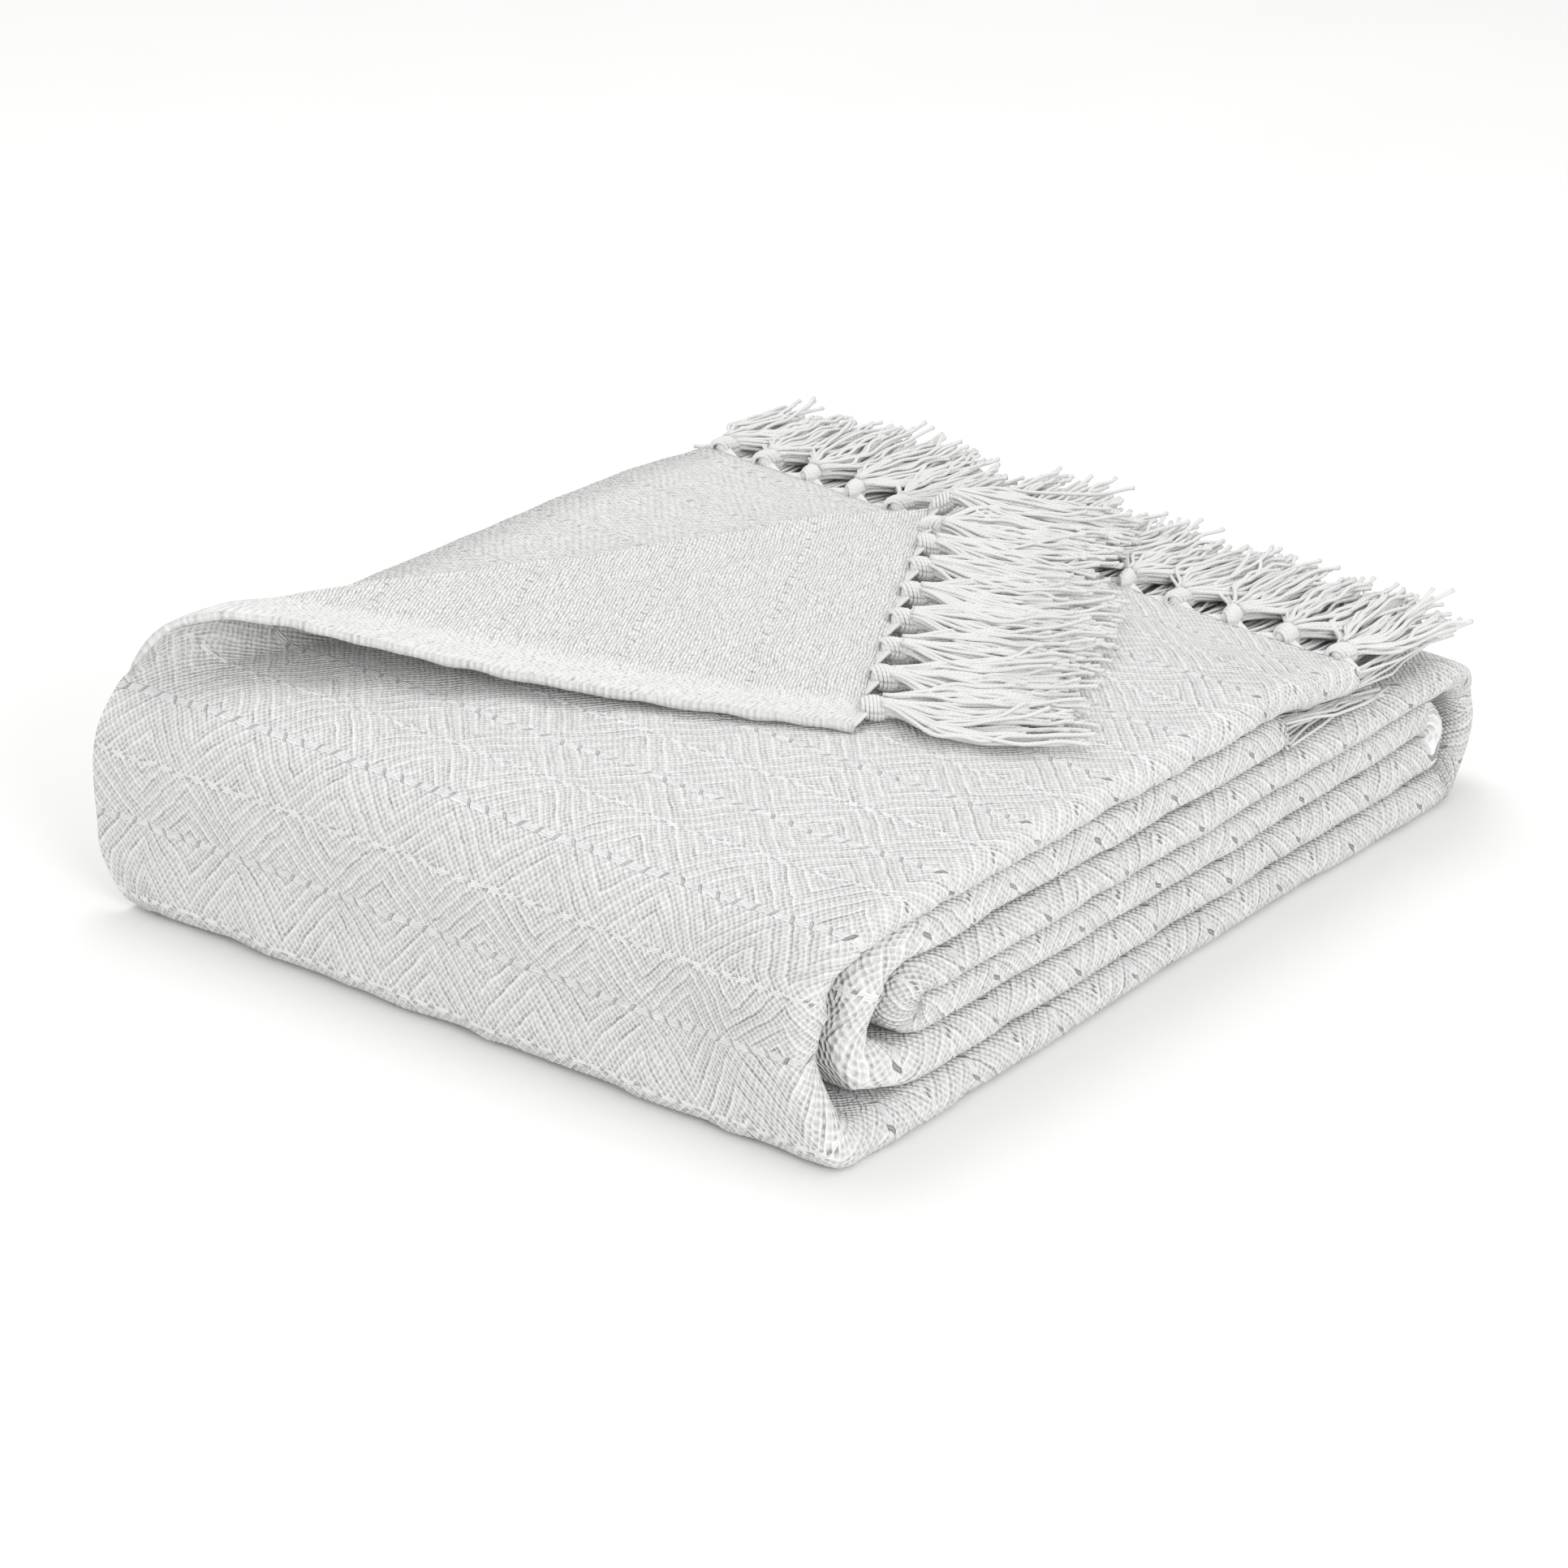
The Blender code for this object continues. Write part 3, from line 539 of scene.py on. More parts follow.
# Woven cotton, reverse: weft floats in staggered rows, no two alike, a plain band and a narrow wrapped hem
# towards the selvedge. Row wave times float shape, mixed into the bands by the distance.
def clothReverse():
    made, tree = newMaterial("wovenCottonReverse")
    r = reverseValues
    known = weaveSums(tree, weave["reverseStart"])
    rowPitch = 0.5 * halfHeight / weave["dots"]
    known["edge"] = addNode(tree, "ShaderNodeAttribute", attribute_name="selvedge").outputs["Fac"]
    flat = addNode(tree, "ShaderNodeUVMap", uv_map="flat").outputs["UV"]
    drawn = addNode(tree, "ShaderNodeVectorMath", {0: flat, 1: r["stretch"]}, operation="MULTIPLY")
    known["yarnNoise"] = addNode(tree, "ShaderNodeTexNoise", {
        "Vector": drawn.outputs[0], "Scale": r["yarnScale"], "Detail": 1.5}).outputs["Fac"]
    addSums(tree, known, (
        ("rowPlace", "DIVIDE", "fromV", rowPitch),
        ("rowNumber", "FLOOR", "rowPlace"),
        ("rowRib", "MULTIPLY_ADD", "rowNumber", 0.5 * weave["ribs"] / weave["dots"], "ribU"),
        ("floatPlace", "MULTIPLY", "rowRib", 2.0),
        ("floatPart", "FRACT", "floatPlace"),
        ("rowAngle", "MULTIPLY", "rowPlace", math.pi),
        ("rowWave", "SINE", "rowAngle"),
        ("rowHeight", "ABSOLUTE", "rowWave"),
        ("slotSlant", "MULTIPLY_ADD", "signedV", r["slotSlant"], "across"),
        ("slotAway", "PINGPONG", "slotSlant", halfSlot),
        ("slotOpen", "MULTIPLY_ADD", "slotAway", r["slotGain"], -r["slotOff"]),
        ("slotSoft", "MAXIMUM", "slotOpen", r["slotLeast"]),
        ("slot", "MINIMUM", "slotSoft", 1.0),
        ("hemSlant", "MULTIPLY_ADD", "edge", r["hemLean"], "signedV"),
        ("hemAngle", "MULTIPLY", "hemSlant", 2.0 * math.pi / r["hemPitch"]),
        ("hemWave", "COSINE", "hemAngle"),
        ("hemShare", "MULTIPLY", "patch", r["hemGrain"]),
        ("hemTop", "MULTIPLY_ADD", "hemWave", "hemShare", r["hemHigh"]),
        ("plainTop", "MULTIPLY_ADD", "dots", r["plainGrain"], r["plainHigh"]),
        ("yarnShare", "MULTIPLY_ADD", "yarnNoise", r["yarnShare"], -r["yarnOff"]),
        ("inRow", "clamped MULTIPLY", "strong", 1.0),
        ("rows", "MULTIPLY_ADD", "rowHeight", r["rowGrain"], r["rowLow"]),
    ))
    envelope = addNode(tree, "ShaderNodeValToRGB", {"Fac": known["floatPart"]})
    setRamp(envelope.color_ramp, ((0.0, 0.34), (0.14, 0.7), (0.5, 0.95), (0.84, 0.7), (1.0, 0.34)))
    known["envelope"] = envelope.outputs["Color"]
    addSums(tree, known, (("body", "MULTIPLY", "rows", "envelope"), ("slotted", "MULTIPLY", "body", "slot")))
    woven = addNode(tree, "ShaderNodeMix", {
        "Factor": known["inRow"], "A": known["body"], "B": known["slotted"]})
    for band in ("plain", "hem"):
        share = addNode(tree, "ShaderNodeMapRange", {
            "Value": known["edge"], "From Min": r[band + "Start"], "From Max": r[band + "End"]})
        woven = addNode(tree, "ShaderNodeMix", {
            "Factor": share.outputs[0], "A": woven.outputs[0], "B": known[band + "Top"]})
    known["woven"] = woven.outputs[0]
    addSums(tree, known, (("uneven", "ADD", "woven", "yarnShare"),))
    finishCotton(tree, known["uneven"], r["relief"] * weave["relief"])
    return made


# The first colour is painted shade in the grooves between the two strands, the second the yarn's own near
# white
yarnValues = dict(radius=0.84, plies=2.0, twist=3.6, gap="#dcdcda", top="#e6e6e5", groove=0.3, bump=0.6)
yarnSockets = {"Roughness": 0.85, "Specular IOR Level": 0.3, "Sheen Weight": 0.25, "Sheen Roughness": 0.5}


# Plied cotton yarn: two strands twisted round each other, seen as slanted grooves along the yarn, bumped and
# painted darker in the grooves as painted shade
def pliedYarn():
    made, tree = newMaterial("pliedCottonYarn")
    flat = addNode(tree, "ShaderNodeUVMap", uv_map="flat").outputs["UV"]
    place = addNode(tree, "ShaderNodeSeparateXYZ", {"Vector": flat})
    known = addSums(tree, dict(x=place.outputs["X"], y=place.outputs["Y"]), (
        ("turns", "MULTIPLY", "y", 1000.0 * yarnValues["plies"] / yarnValues["twist"]),
        ("strand", "MULTIPLY_ADD", "x", yarnValues["plies"], "turns"),
        ("angle", "MULTIPLY", "strand", math.pi),
        ("wave", "SINE", "angle"),
        ("height", "ABSOLUTE", "wave"),
    ))
    # painted shade: the grooves between the strands take the darker grey
    tone = addNode(tree, "ShaderNodeValToRGB", {"Fac": known["height"]})
    setRamp(tone.color_ramp, ((0.0, yarnValues["gap"]), (0.45, yarnValues["top"])))
    bump = addNode(tree, "ShaderNodeBump", {
        "Height": known["height"], "Distance": yarnValues["groove"] * mm, "Strength": yarnValues["bump"]})
    finishShader(tree, tone, bump, yarnSockets)
    return made


# Puts data into the scene as an object
def addObject(name, data):
    made = bpy.data.objects.new(name, data)
    scene.collection.objects.link(made)
    return made


# Puts points, faces and a UV map of each face corner into a mesh object
def makePiece(name, points, faces, uv, materials):
    mesh = bpy.data.meshes.new(name)
    mesh.from_pydata(toFrame(points.reshape(-1, 3)), [], faces)
    layer = mesh.uv_layers.new(name="flat")
    layer.data.foreach_set("uv", np.asarray(uv, np.float32).ravel())
    for material in materials:
        mesh.materials.append(material)
    mesh.shade_smooth()
    return addObject(name, mesh)


# The cloth, lengths in millimetres
clothValues = dict(
    hemWidth=4.5, hemSoft=3.0, hemThick=0.55,
    hemEnd=330.0,  # run along the cloth where the rolled hem ends
    hemFade=30.0,
    farEdge=400.0,  # distance given to cloth that is far from the turned corner's selvedge
    secondShift=-16.0,  # where the second ply's rows of dashes stand against those of the turned corner
    flapScale=0.8702,  # fits the reverse's weave to the turned corner
    flapShear=0.2281,
)

# Soft unevenness of the shown plies: waves by their lengths across and along, in millimetres
unevenWaves = table(
    "across along phase high",
    (61.0, 97.0, 0.4, 0.30),
    (-37.0, 53.0, 2.1, 0.22),
    (23.0, -31.0, 4.0, 0.14),
    (140.0, 24.3, 1.2, 0.20),
)

# Puckers of the ridges between the rows of dashes, from their middle line outwards
ridgeSwell = dict(middle=3.5, width=0.34, start=2.9, end=4.1, high=1.9, low=1.0, slow=27.7, fine=0.35,
                  finePitch=3.1)

# Creases wander and fade out at their ends
creaseShape = dict(wander=1.2, wanderLength=17.0, fade=14.0, fadeStart=0.4)

# Creases pressed or pushed into the cloth: a line from one (reach, along) to another, raised or sunk
creases = table(
    "ply start end width high",
    ("second", (313.0, -5.0), (311.0, 260.0), 1.6, 0.85),
    ("second", (309.5, -5.0), (307.5, 260.0), 1.4, -0.5),
    ("top", (323.0, 316.0), (331.0, 368.0), 4.0, -1.0),
    ("top", (315.0, 318.0), (322.0, 372.0), 5.0, 0.9),
    ("top", (46.0, 362.0), (40.0, 402.0), 2.2, -0.9),
    ("top", (51.0, 360.0), (46.0, 400.0), 3.5, 0.8),
    ("top", (196.0, 300.0), (150.0, 392.0), 6.0, 0.5),
    ("top", (118.0, 20.0), (86.0, 250.0), 9.0, 0.5),
)


# Cuts from 0 to the number of pieces, each piece in its own number of equal steps
def cutsOf(steps):
    return np.concatenate([[0.0]] + [i + (np.arange(n) + 1.0) / n for i, n in enumerate(steps)])


# Height of the small waves and creases towards the face side: sines added up, and a soft bump of the
# distance from each crease, fading out at its ends. Ridges swell between rows of dashes.
def unevenness(station, flat, along):
    height = np.zeros_like(along)
    for wave in unevenWaves:
        angle = 2.0 * math.pi * (flat / wave["across"] + along / wave["along"]) + wave["phase"]
        height += wave["high"] * np.sin(angle)
    s, c = ridgeSwell, creaseShape
    onRidge = hump(station - s["middle"], s["width"]) * (station > s["start"]) * (station < s["end"])
    swell = np.abs(np.sin(math.pi * (along - weave["alongStart"]) / halfHeight)) ** 0.7
    height += onRidge * (s["high"] * swell - s["low"]) * (0.75 + 0.25 * np.sin(along / s["slow"]))
    height += s["fine"] * onRidge * np.sin(along / s["finePitch"] + 2.0 * np.sin(along / 11.0))
    shown = smooth((4.3 - station) / 0.4)
    second = smooth((station - 8.05) / 0.1)
    height = height * (shown + 0.5 * second)
    for crease in creases:
        start, end = np.array(crease["start"]), np.array(crease["end"])
        span = np.linalg.norm(end - start)
        run = ((flat - start[0]) * (end - start)[0] + (along - start[1]) * (end - start)[1]) / span
        away = ((flat - start[0]) * (end - start)[1] - (along - start[1]) * (end - start)[0]) / span
        away = away + c["wander"] * np.sin(run / c["wanderLength"])
        fade = smooth(run / c["fade"] + c["fadeStart"]) * smooth((span - run) / c["fade"] + c["fadeStart"])
        onPly = (station > secondPlyStart) if crease["ply"] == "second" else (station < topPlyEnd)
        toFace = -1.0 if crease["ply"] == "second" else 1.0
        height += onPly * toFace * crease["high"] * hump(away, crease["width"]) * fade
    return height


# The sheet: middle surface plus and minus half the thickness along its normal, joined by four rims
def makeCloth(faceMaterial, reverseMaterial):
    lengthCuts = np.interp(cutsOf([s["steps"] for s in sections]), np.arange(len(sections) + 1.0), starts)
    offset = 1.5 * pile["plyPitch"] + 0.5 * pile["sheet"]
    woven = np.concatenate([[0.0], np.cumsum([sectionLength(s, offset) for s in sections])])
    station, along = np.meshgrid(cutsOf(widthSteps.values()), lengthCuts, indexing="ij")
    wovenAlong = np.interp(along, starts, woven)
    middle, flat = clothSurface(station, along)
    step, stride, last = 1e-4, 0.03, float(len(widthSteps))
    before, after = np.maximum(station - step, 0.0), np.minimum(station + step, last)
    byWidth = unit(clothSurface(after, along)[0] - clothSurface(before, along)[0])
    before, after = np.maximum(along - stride, 0.0), np.minimum(along + stride, starts[-1])
    byLength = unit(clothSurface(station, after)[0] - clothSurface(station, before)[0])
    normal = unit(np.cross(byWidth, byLength))
    v = clothValues
    edge = np.where(station < topPlyEnd, rowEnd(along) - flat, v["farEdge"])
    rolled = smooth((v["hemWidth"] - edge) / v["hemSoft"] + 0.5)
    rolled = rolled * smooth((v["hemEnd"] - along) / v["hemFade"])
    rolled = rolled * (0.8 + 0.25 * np.sin(along / 5.3) + 0.2 * np.sin(along / 3.1 + 1.0))
    thick = 0.5 * pile["sheet"] + v["hemThick"] * rolled
    reach = np.where(station > secondPlyStart, -middle[..., 0], flat)
    middle = middle - normal * unevenness(station, reach, along)[..., None]
    face = settle(middle - normal * thick[..., None])
    back = settle(middle + normal * thick[..., None])
    rows, columns = station.shape
    index = np.arange(rows * columns).reshape(rows, columns)
    other = index + rows * columns
    turned = station < topPlyEnd
    backU = np.where(turned, flat + v["flapShear"] * np.minimum(along, corner["turnedRun"]), flat)
    backV = np.where(turned, v["flapScale"] * along, along + v["secondShift"])
    faceUv = np.stack([flat, wovenAlong], -1) * mm
    backUv = np.stack([backU, backV], -1) * mm
    quads = [np.stack(corners, -1).reshape(-1, 4) for corners in (
        (index[:-1, :-1], index[:-1, 1:], index[1:, 1:], index[1:, :-1]),
        (other[:-1, :-1], other[1:, :-1], other[1:, 1:], other[:-1, 1:]),
        (index[0, :-1], other[0, :-1], other[0, 1:], index[0, 1:]),
        (index[-1, 1:], other[-1, 1:], other[-1, :-1], index[-1, :-1]),
        (index[1:, 0], other[1:, 0], other[:-1, 0], index[:-1, 0]),
        (index[:-1, -1], other[:-1, -1], other[1:, -1], index[1:, -1]),
    )]
    everyUv = np.concatenate([faceUv.reshape(-1, 2), backUv.reshape(-1, 2)])
    rimUv = np.concatenate([backUv.reshape(-1, 2), backUv.reshape(-1, 2)])
    uv = np.concatenate([everyUv[quads[0]], everyUv[quads[1]]] + [rimUv[q] for q in quads[2:]])
    faces = np.concatenate(quads)
    points = np.concatenate([face.reshape(-1, 3), back.reshape(-1, 3)])
    points[:, 2] = np.maximum(points[:, 2], 0.0)
    made = makePiece("foldedCloth", points, faces, uv, [faceMaterial, reverseMaterial])
    attribute = made.data.attributes.new("selvedge", "FLOAT", "POINT")
    attribute.data.foreach_set("value", np.tile(edge.ravel(), 2).astype(np.float32))
    which = np.ones(len(faces), np.int32)
    which[:len(quads[0])] = 0
    made.data.polygons.foreach_set("material_index", which)
    return made


# Rows of knots. ply is the offset from the middle of a ridge in ply pitches. full counts the shown knots from
# the first one, or from the last one where it is below zero.
fringeRows = table(
    "name node end ply first pitch count full",
    ("turnedCornerFringe", "fringe_turned_corner", "flap", 1.5, 5.5, 26.9, 9, 9),
    ("topPlyFringe", "fringe_top_ply", "top", 1.5, -13.0, -26.5, 8, 8),
    ("secondPlyFringe", "fringe_second_ply", "top", 0.5, -15.5, -25.0, 14, -5),
    ("thirdPlyFringe", "fringe_third_ply", "top", -0.5, -14.0, -26.0, 13, 0),
    ("lowestPlyFringe", "fringe_lowest_ply", "top", -1.5, -16.0, -26.0, 13, 0),
    ("innerTopPlyFringe", "inner_fringe_top_ply", "inner", -1.5, -14.0, -26.0, 13, 0),
    ("innerSecondPlyFringe", "inner_fringe_second_ply", "inner", -0.5, -17.0, -26.0, 13, 0),
    ("innerThirdPlyFringe", "inner_fringe_third_ply", "inner", 0.5, -15.0, -26.0, 13, 0),
    ("innerLowestPlyFringe", "inner_fringe_lowest_ply", "inner", 1.5, -16.0, -26.0, 13, 1),
)

# Knots, lengths in millimetres, and how many yarns are drawn of a shown one and of a hidden one
knotValues = dict(centre=5.6, half=5.3, high=4.1, wrapPitch=1.42, tilt=30.0, tiltMore=16.0, rootWide=12.6,
                  rootDrawn=10.2, coreLength=10.2, hiddenCore=3.0)
knotDetail = dict(
    shown=dict(locks=8, each=7, steps=26, sides=5, yarn=1.0, fan=13, fanSteps=6, wraps=7, wrapSteps=19,
               wrapApart=1.0, coreSteps=7, coreSides=8),
    hidden=dict(locks=9, each=2, steps=7, sides=4, yarn=0.85, fan=3, fanSteps=3, wraps=3, wrapSteps=9,
                wrapApart=1.8, coreSteps=4, coreSides=6),
)

# Tassels by end: length, opening, thickness, lift of their ends and of the knot, flatness, lowest place
tasselValues = dict(
    flap=dict(length=85.0, spread=12.5, thick=3.2, lifted=0.6, lift=2.2, knotFlat=1.0, flat=1.0, low=-0.5),
    top=dict(length=77.0, spread=12.0, thick=3.4, lifted=5.5, lift=1.5, knotFlat=1.0, flat=1.0, low=-2.2),
    inner=dict(length=76.0, spread=5.5, thick=2.0, lifted=0.0, lift=0.2, knotFlat=0.45, flat=0.4, low=-0.5),
)
hiddenFlat = dict(lift=0.0, knotFlat=0.34, flat=0.4)


# Place of a fringe point beside its own edge of the sheet, settled: along the edge, out from it and up
def fringePlace(row, along, out, up):
    along, out, up = np.broadcast_arrays(along, out, up)
    offset = row["ply"] * pile["plyPitch"]
    if row["end"] != "flap":
        level = 5.5 if row["end"] == "top" else 4.5
        return settle(np.stack([along, pile[row["end"] + "EndY"] + out, level * ridge + offset + up], -1))
    x = corner["creaseX"] + along * flapDir[0] - out * flapDir[1]
    y = pile["topEndY"] + along * flapDir[1] + out * flapDir[0]
    over = 5.0 * smooth((y - pile["topEndY"] + 24.0) / 18.0) * smooth(out / 12.0)
    height = flapHeight(outRate[0] * along, outRate[1] * along) + over
    return settle(place(x, pile["topEndY"] - y, offset + height + up))


# Yarn tubes: rings of sides points round each path, in the plane square to the path, closed at the ends
def tubes(paths, radii, sides, reference):
    count, steps, _ = paths.shape
    radii = np.broadcast_to(radii, (count, steps))
    tangent = np.gradient(paths, axis=1)
    tangent /= np.linalg.norm(tangent, axis=-1, keepdims=True) + 1e-12
    first = np.cross(tangent, reference)
    first /= np.linalg.norm(first, axis=-1, keepdims=True) + 1e-12
    second = np.cross(tangent, first)
    angle = np.arange(sides) * 2.0 * math.pi / sides
    ring = first[..., None, :] * np.cos(angle)[:, None] + second[..., None, :] * np.sin(angle)[:, None]
    points = paths[..., None, :] + ring * radii[..., None, None]
    length = np.zeros((count, steps))
    length[:, 1:] = np.cumsum(np.linalg.norm(np.diff(paths, axis=1), axis=-1), axis=1)
    index = np.arange(count * steps * sides).reshape(count, steps, sides)
    after = np.roll(index, -1, axis=2)
    quads = np.stack([index[:, :-1], after[:, :-1], after[:, 1:], index[:, 1:]], -1).reshape(-1, 4)
    u = np.broadcast_to(np.arange(sides) / sides, (count, steps - 1, sides))
    low = np.broadcast_to(length[:, :-1, None] * mm, u.shape)
    high = np.broadcast_to(length[:, 1:, None] * mm, u.shape)
    wide = u + 1.0 / sides
    corners = ((u, low), (wide, low), (wide, high), (u, high))
    uv = np.stack([np.stack(c, -1) for c in corners], -2).reshape(-1, 2)
    caps = np.concatenate([index[:, 0, ::-1], index[:, -1, :]])
    return points.reshape(-1, 3), quads, caps, uv


# Joins sets of tubes into one list of points, faces and UVs
def joinTubes(parts):
    points, faces, uvs, caps, capUvs, base = [], [], [], [], [], 0
    for p, quads, ends, uv in parts:
        points.append(p)
        faces.extend((quads + base).tolist())
        uvs.append(uv)
        caps.extend((ends + base).tolist())
        capUvs.append(np.full((ends.size, 2), 0.25))
        base += len(p)
    return np.concatenate(points), faces + caps, np.concatenate(uvs + capUvs)


# Yarns of one tassel: locks wander from the knot, each yarn near its own lock, crimped, with a curled end.
# Place along the edge is the lock's seat times a width that opens smoothly. Hidden tassels leave the whole
# edge, to fill the space under the shown rows.
def tasselPaths(rng, row, centre, full, detail, lift, flatness):
    values = tasselValues[row["end"]]
    locks, each = detail["locks"], detail["each"]
    t = np.linspace(0.0, 1.0, detail["steps"])
    column = (locks * each, 1)
    lockSeat = np.linspace(-1.0, 1.0, locks)[:, None] + rng.normal(0.0, 0.1, (locks, 1))
    lockSeat = np.repeat(lockSeat, each, axis=0)
    lockWave = np.repeat(rng.uniform(-1.0, 1.0, (locks, 2)), each, axis=0)
    layer = rng.uniform(-1.0, 1.0, column) * np.sqrt(1.0 - 0.7 * np.clip(np.abs(lockSeat), 0.0, 1.0) ** 2)
    near = rng.uniform(-1.0, 1.0, column)
    length = values["length"] * rng.uniform(0.92, 1.04) * rng.uniform(0.74, 1.06, column)
    opened = smooth(t * 2.8)
    aim = rng.uniform(-8.0, 8.0) * smooth(t)
    wide = 3.0 + values["spread"] * opened if full else 12.8
    along = centre + aim + lockSeat * wide + near * (1.0 + 3.8 * opened)
    along = along + 5.6 * smooth(t * 1.3) * np.sin(3.8 * t + 3.0 * lockWave[:, :1]) * lockWave[:, 1:]
    crimp = rng.uniform(5.0, 11.0, column)
    start = rng.uniform(0.0, 2.0 * math.pi, (locks * each, 2))
    along = along + 0.55 * smooth(t * 3.0) * np.sin(length * t / crimp * 2.0 + start[:, :1])
    tip = smooth((t - 0.72) / 0.28) ** 2
    curl = rng.uniform(-1.0, 1.0, column)
    along = along + 4.0 * curl * tip
    begin = 8.5 if full else 0.6
    out = begin + (length - begin) * t - 2.2 * np.abs(curl) * tip
    bulk = values["thick"] * flatness * (1.0 - 0.35 * smooth(t * 1.6)) + 0.2
    rise = lift * (1.0 - smooth(t * 1.8)) + (layer + 0.45) * bulk * (1.0 - 0.3 * t)
    rise = rise + 0.45 * flatness * np.sin(length * t / crimp * 1.7 + start[:, 1:]) * smooth(t * 3.0)
    if full and row["end"] != "inner":
        rise = rise + values["lifted"] * smooth(t * 1.2) * rng.uniform(0.6, 1.3) * (0.6 + 0.6 * layer)
        stray = (rng.random(column) > 0.84) * rng.random(column)
        rise = rise + stray * 7.0 * t ** 2.5
        along = along + stray * 14.0 * np.sin(2.2 * t * curl)
    rise = np.maximum(rise, values["low"]) if full else np.maximum(rise + 0.7, -1.0)
    return fringePlace(row, along, out, rise)


# One row of fringe. Each knot is a barrel of slanted yarn wraps round a core; fanned yarns run into it
# from the cloth, and its tassel spreads from it.
def makeFringe(row, number, material):
    rng = np.random.default_rng(700 + number)
    parts = []
    upward = np.array([0.0, 0.0, 1.0])
    k = knotValues
    for i, centre in enumerate(row["first"] + row["pitch"] * np.arange(row["count"])):
        full = i < row["full"] if row["full"] >= 0 else i >= row["count"] + row["full"]
        detail = knotDetail["shown" if full else "hidden"]
        own = tasselValues[row["end"]] if full else hiddenFlat
        lift, squash = own["lift"], own["knotFlat"]
        sides, fan, wraps = detail["sides"], detail["fan"], detail["wraps"]
        radius = yarnValues["radius"] * detail["yarn"]
        path = tasselPaths(rng, row, centre, full, detail, lift, own["flat"])
        radii = np.full(path.shape[:2], radius)
        radii[:, -1] *= 1.25
        parts.append(tubes(path, radii, sides, upward))
        # fanned roots from the cloth's edge into the knot
        t = np.linspace(0.0, 1.0, detail["fanSteps"])
        seat = np.linspace(-1.0, 1.0, fan)[:, None]
        alongEdge = centre + seat * (k["rootWide"] - k["rootDrawn"] * smooth(t * 0.9))
        path = fringePlace(row, alongEdge, -1.4 + 6.4 * t, lift * smooth(t))
        parts.append(tubes(path, radius, sides, upward))
        # slanted wraps
        turn = np.linspace(0.0, 2.0 * math.pi, detail["wrapSteps"])
        level = (np.arange(wraps) - 0.5 * (wraps - 1))[:, None]
        barrel = np.sqrt(1.0 - 0.72 * (level / (0.5 * wraps)) ** 2)
        tilt = math.radians(k["tilt"] + rng.uniform(-k["tiltMore"], k["tiltMore"]))
        tilt = tilt * rng.choice([-1.0, 1.0, 1.0])
        size = rng.uniform(0.9, 1.08)
        half = k["half"] * size
        high = k["high"] * size * squash
        alongEdge = centre + half * barrel * np.cos(turn) * math.cos(tilt)
        out = k["centre"] + level * k["wrapPitch"] * detail["wrapApart"]
        out = out + half * barrel * np.cos(turn) * math.sin(tilt)
        ahead, behind = fringePlace(row, centre, np.array([9.0, 0.0]), 0.0)
        axis = unit(ahead - behind)
        path = fringePlace(row, alongEdge, out, lift + high * barrel * np.sin(turn))
        parts.append(tubes(path, radius * 1.05, sides, axis))
        if full:
            # the yarns that come out of the knot and cross its far side
            turn = np.linspace(-0.2 * math.pi, 1.3 * math.pi, 13)
            level = (np.arange(4) - 1.5)[:, None]
            lean = rng.choice([-1.0, 1.0])
            alongEdge = centre + lean * (0.6 + 3.4 * np.cos(turn) * 0.85) + lean * level * 0.55
            out = k["centre"] + 4.6 + level * 0.9 + 1.8 * np.cos(turn)
            path = fringePlace(row, alongEdge, out, lift + 0.4 + 3.2 * squash * np.sin(turn))
            parts.append(tubes(path, radius, sides, axis))
        # core
        t = np.linspace(0.0, 1.0, detail["coreSteps"])
        core = (half if full else k["hiddenCore"]) * squash * 0.72
        core = core * np.sqrt(np.clip(1.0 - (1.7 * t - 0.85) ** 2, 0.05, 1.0))
        path = fringePlace(row, centre, 0.8 + k["coreLength"] * t, lift)[None]
        parts.append(tubes(path, core, detail["coreSides"], upward))
    points, faces, uv = joinTubes(parts)
    return makePiece(row["name"], points, faces, uv, [material])


cloth = makeCloth(clothFace(), clothReverse())
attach(cloth, "root")
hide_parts("folded_cloth")
print("cloth made,", len(cloth.data.polygons) * 2, "triangles")

yarn = pliedYarn()
for number, row in enumerate(fringeRows):
    piece = makeFringe(row, number, yarn)
    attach(piece, "root")
    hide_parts(row["node"])
    print(row["name"], "made,", sum(len(p.vertices) - 2 for p in piece.data.polygons), "triangles")


# Studio: pale floor and surround, a large soft light overhead a little behind, and one from the right
studio = dict(
    floor=("#f1f1f0", "#f6f6f5"),
    floorReach=6.0,
    surround="#ffffff",
    surroundLight=0.88, aim=(0.0, 0.0, 0.05),
    lamps=(
        dict(name="softKey", place=(-0.5, 0.35, 1.7), size=1.0, power=8.0),
        dict(name="softSide", place=(1.7, -0.9, 0.9), size=0.8, power=12.0),
    ),
)


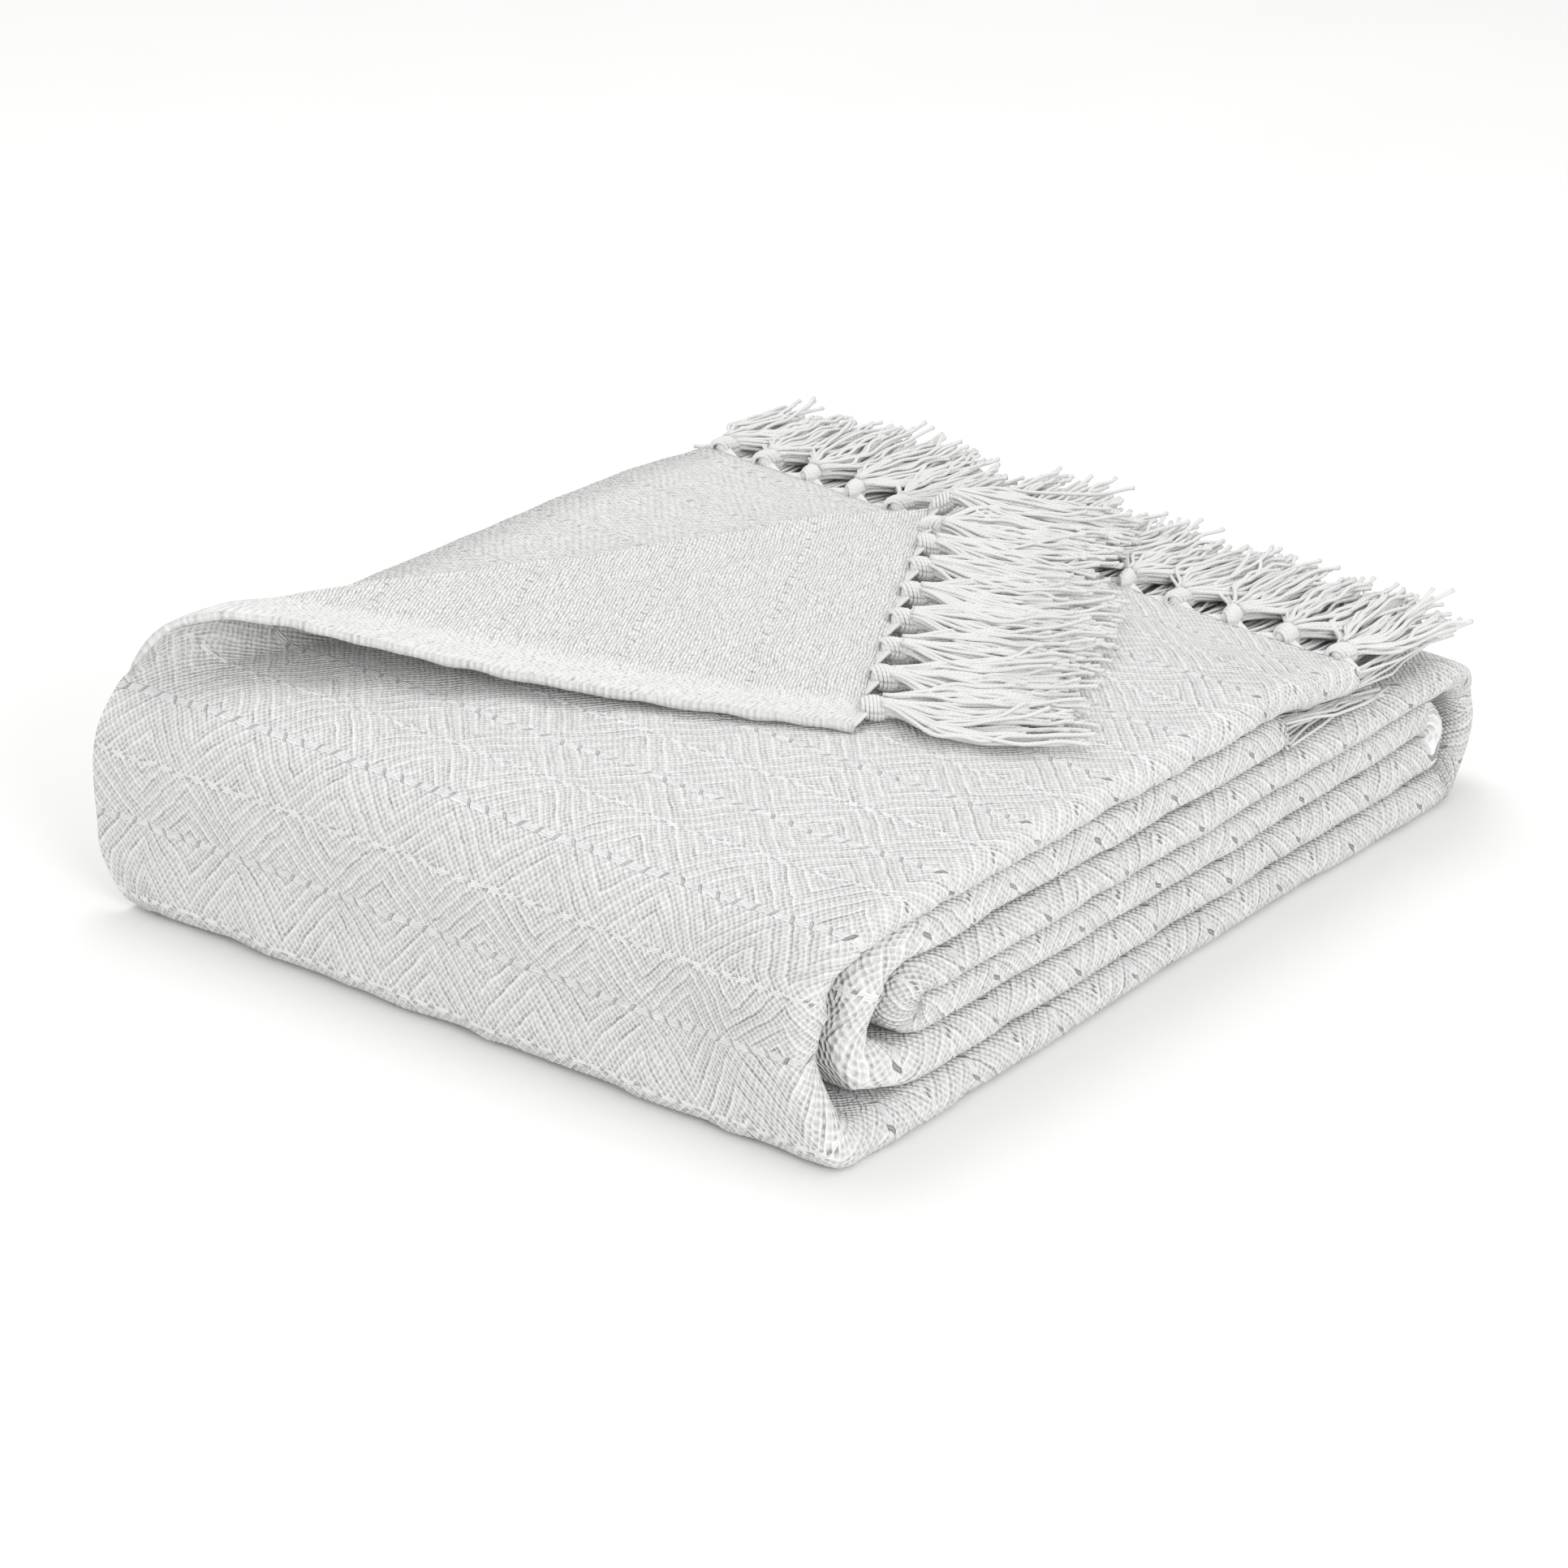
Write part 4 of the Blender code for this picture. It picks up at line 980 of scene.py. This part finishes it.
# One large lamp, turned from straight down by its slant and round by its bearing towards the pile
def addLamp(values):
    lamp = bpy.data.lights.new(values["name"], "AREA")
    lamp.shape = "DISK"
    lamp.size = values["size"]
    lamp.energy = values["power"]
    made = addObject(values["name"], lamp)
    made.location = values["place"]
    across, along, up = np.array(studio["aim"]) - np.array(values["place"])
    slant, bearing = math.atan2(math.hypot(across, along), -up), math.atan2(along, across)
    made.rotation_euler = (slant, 0.0, bearing - 0.5 * math.pi)


# The floor is a square of paper, its grey by noise. The surround is one even white.
def makeStudio():
    material, tree = newMaterial("paleStudioPaper")
    grain = addNode(tree, "ShaderNodeTexNoise", {"Scale": 60.0, "Detail": 3.0})
    tone = addNode(tree, "ShaderNodeValToRGB", {"Fac": grain.outputs["Fac"]})
    setRamp(tone.color_ramp, tuple(zip((0.0, 1.0), studio["floor"])))
    finishShader(tree, tone, None, {"Roughness": 0.9})
    mesh = bpy.data.meshes.new("studioFloor")
    reach = studio["floorReach"]
    corners = [(x * reach, y * reach, 0.0) for x, y in ((-1, -1), (1, -1), (1, 1), (-1, 1))]
    mesh.from_pydata(corners, [], [(0, 1, 2, 3)])
    mesh.materials.append(material)
    floor = addObject("studioFloor", mesh)
    world = bpy.data.worlds.new("studioSurround")
    world.use_nodes = True
    background = world.node_tree.nodes["Background"]
    background.inputs["Color"].default_value = linear(studio["surround"])
    background.inputs["Strength"].default_value = studio["surroundLight"]
    scene.world = world
    for values in studio["lamps"]:
        addLamp(values)
    scene.view_settings.view_transform = "Standard"


# The photograph's view, measured from the object: focal length in picture widths, tilt and turn in degrees
cameraValues = dict(place=(1.00584, -1.25456, 0.763), focal=5482.0 / 1932.0, tilt=24.72, turn=39.23,
                    sensor=36.0, nearest=0.05, furthest=50.0)


# The lens is the sensor's width times the focal length in picture widths
def makeCamera():
    data = bpy.data.cameras.new("camera")
    data.sensor_width = cameraValues["sensor"]
    data.lens = cameraValues["sensor"] * cameraValues["focal"]
    data.clip_start = cameraValues["nearest"]
    data.clip_end = cameraValues["furthest"]
    made = addObject("camera", data)
    made.location = cameraValues["place"]
    made.rotation_euler = (math.radians(90.0 - cameraValues["tilt"]), 0.0, math.radians(cameraValues["turn"]))
    scene.camera = made


makeStudio()
makeCamera()
print("studio and camera made")
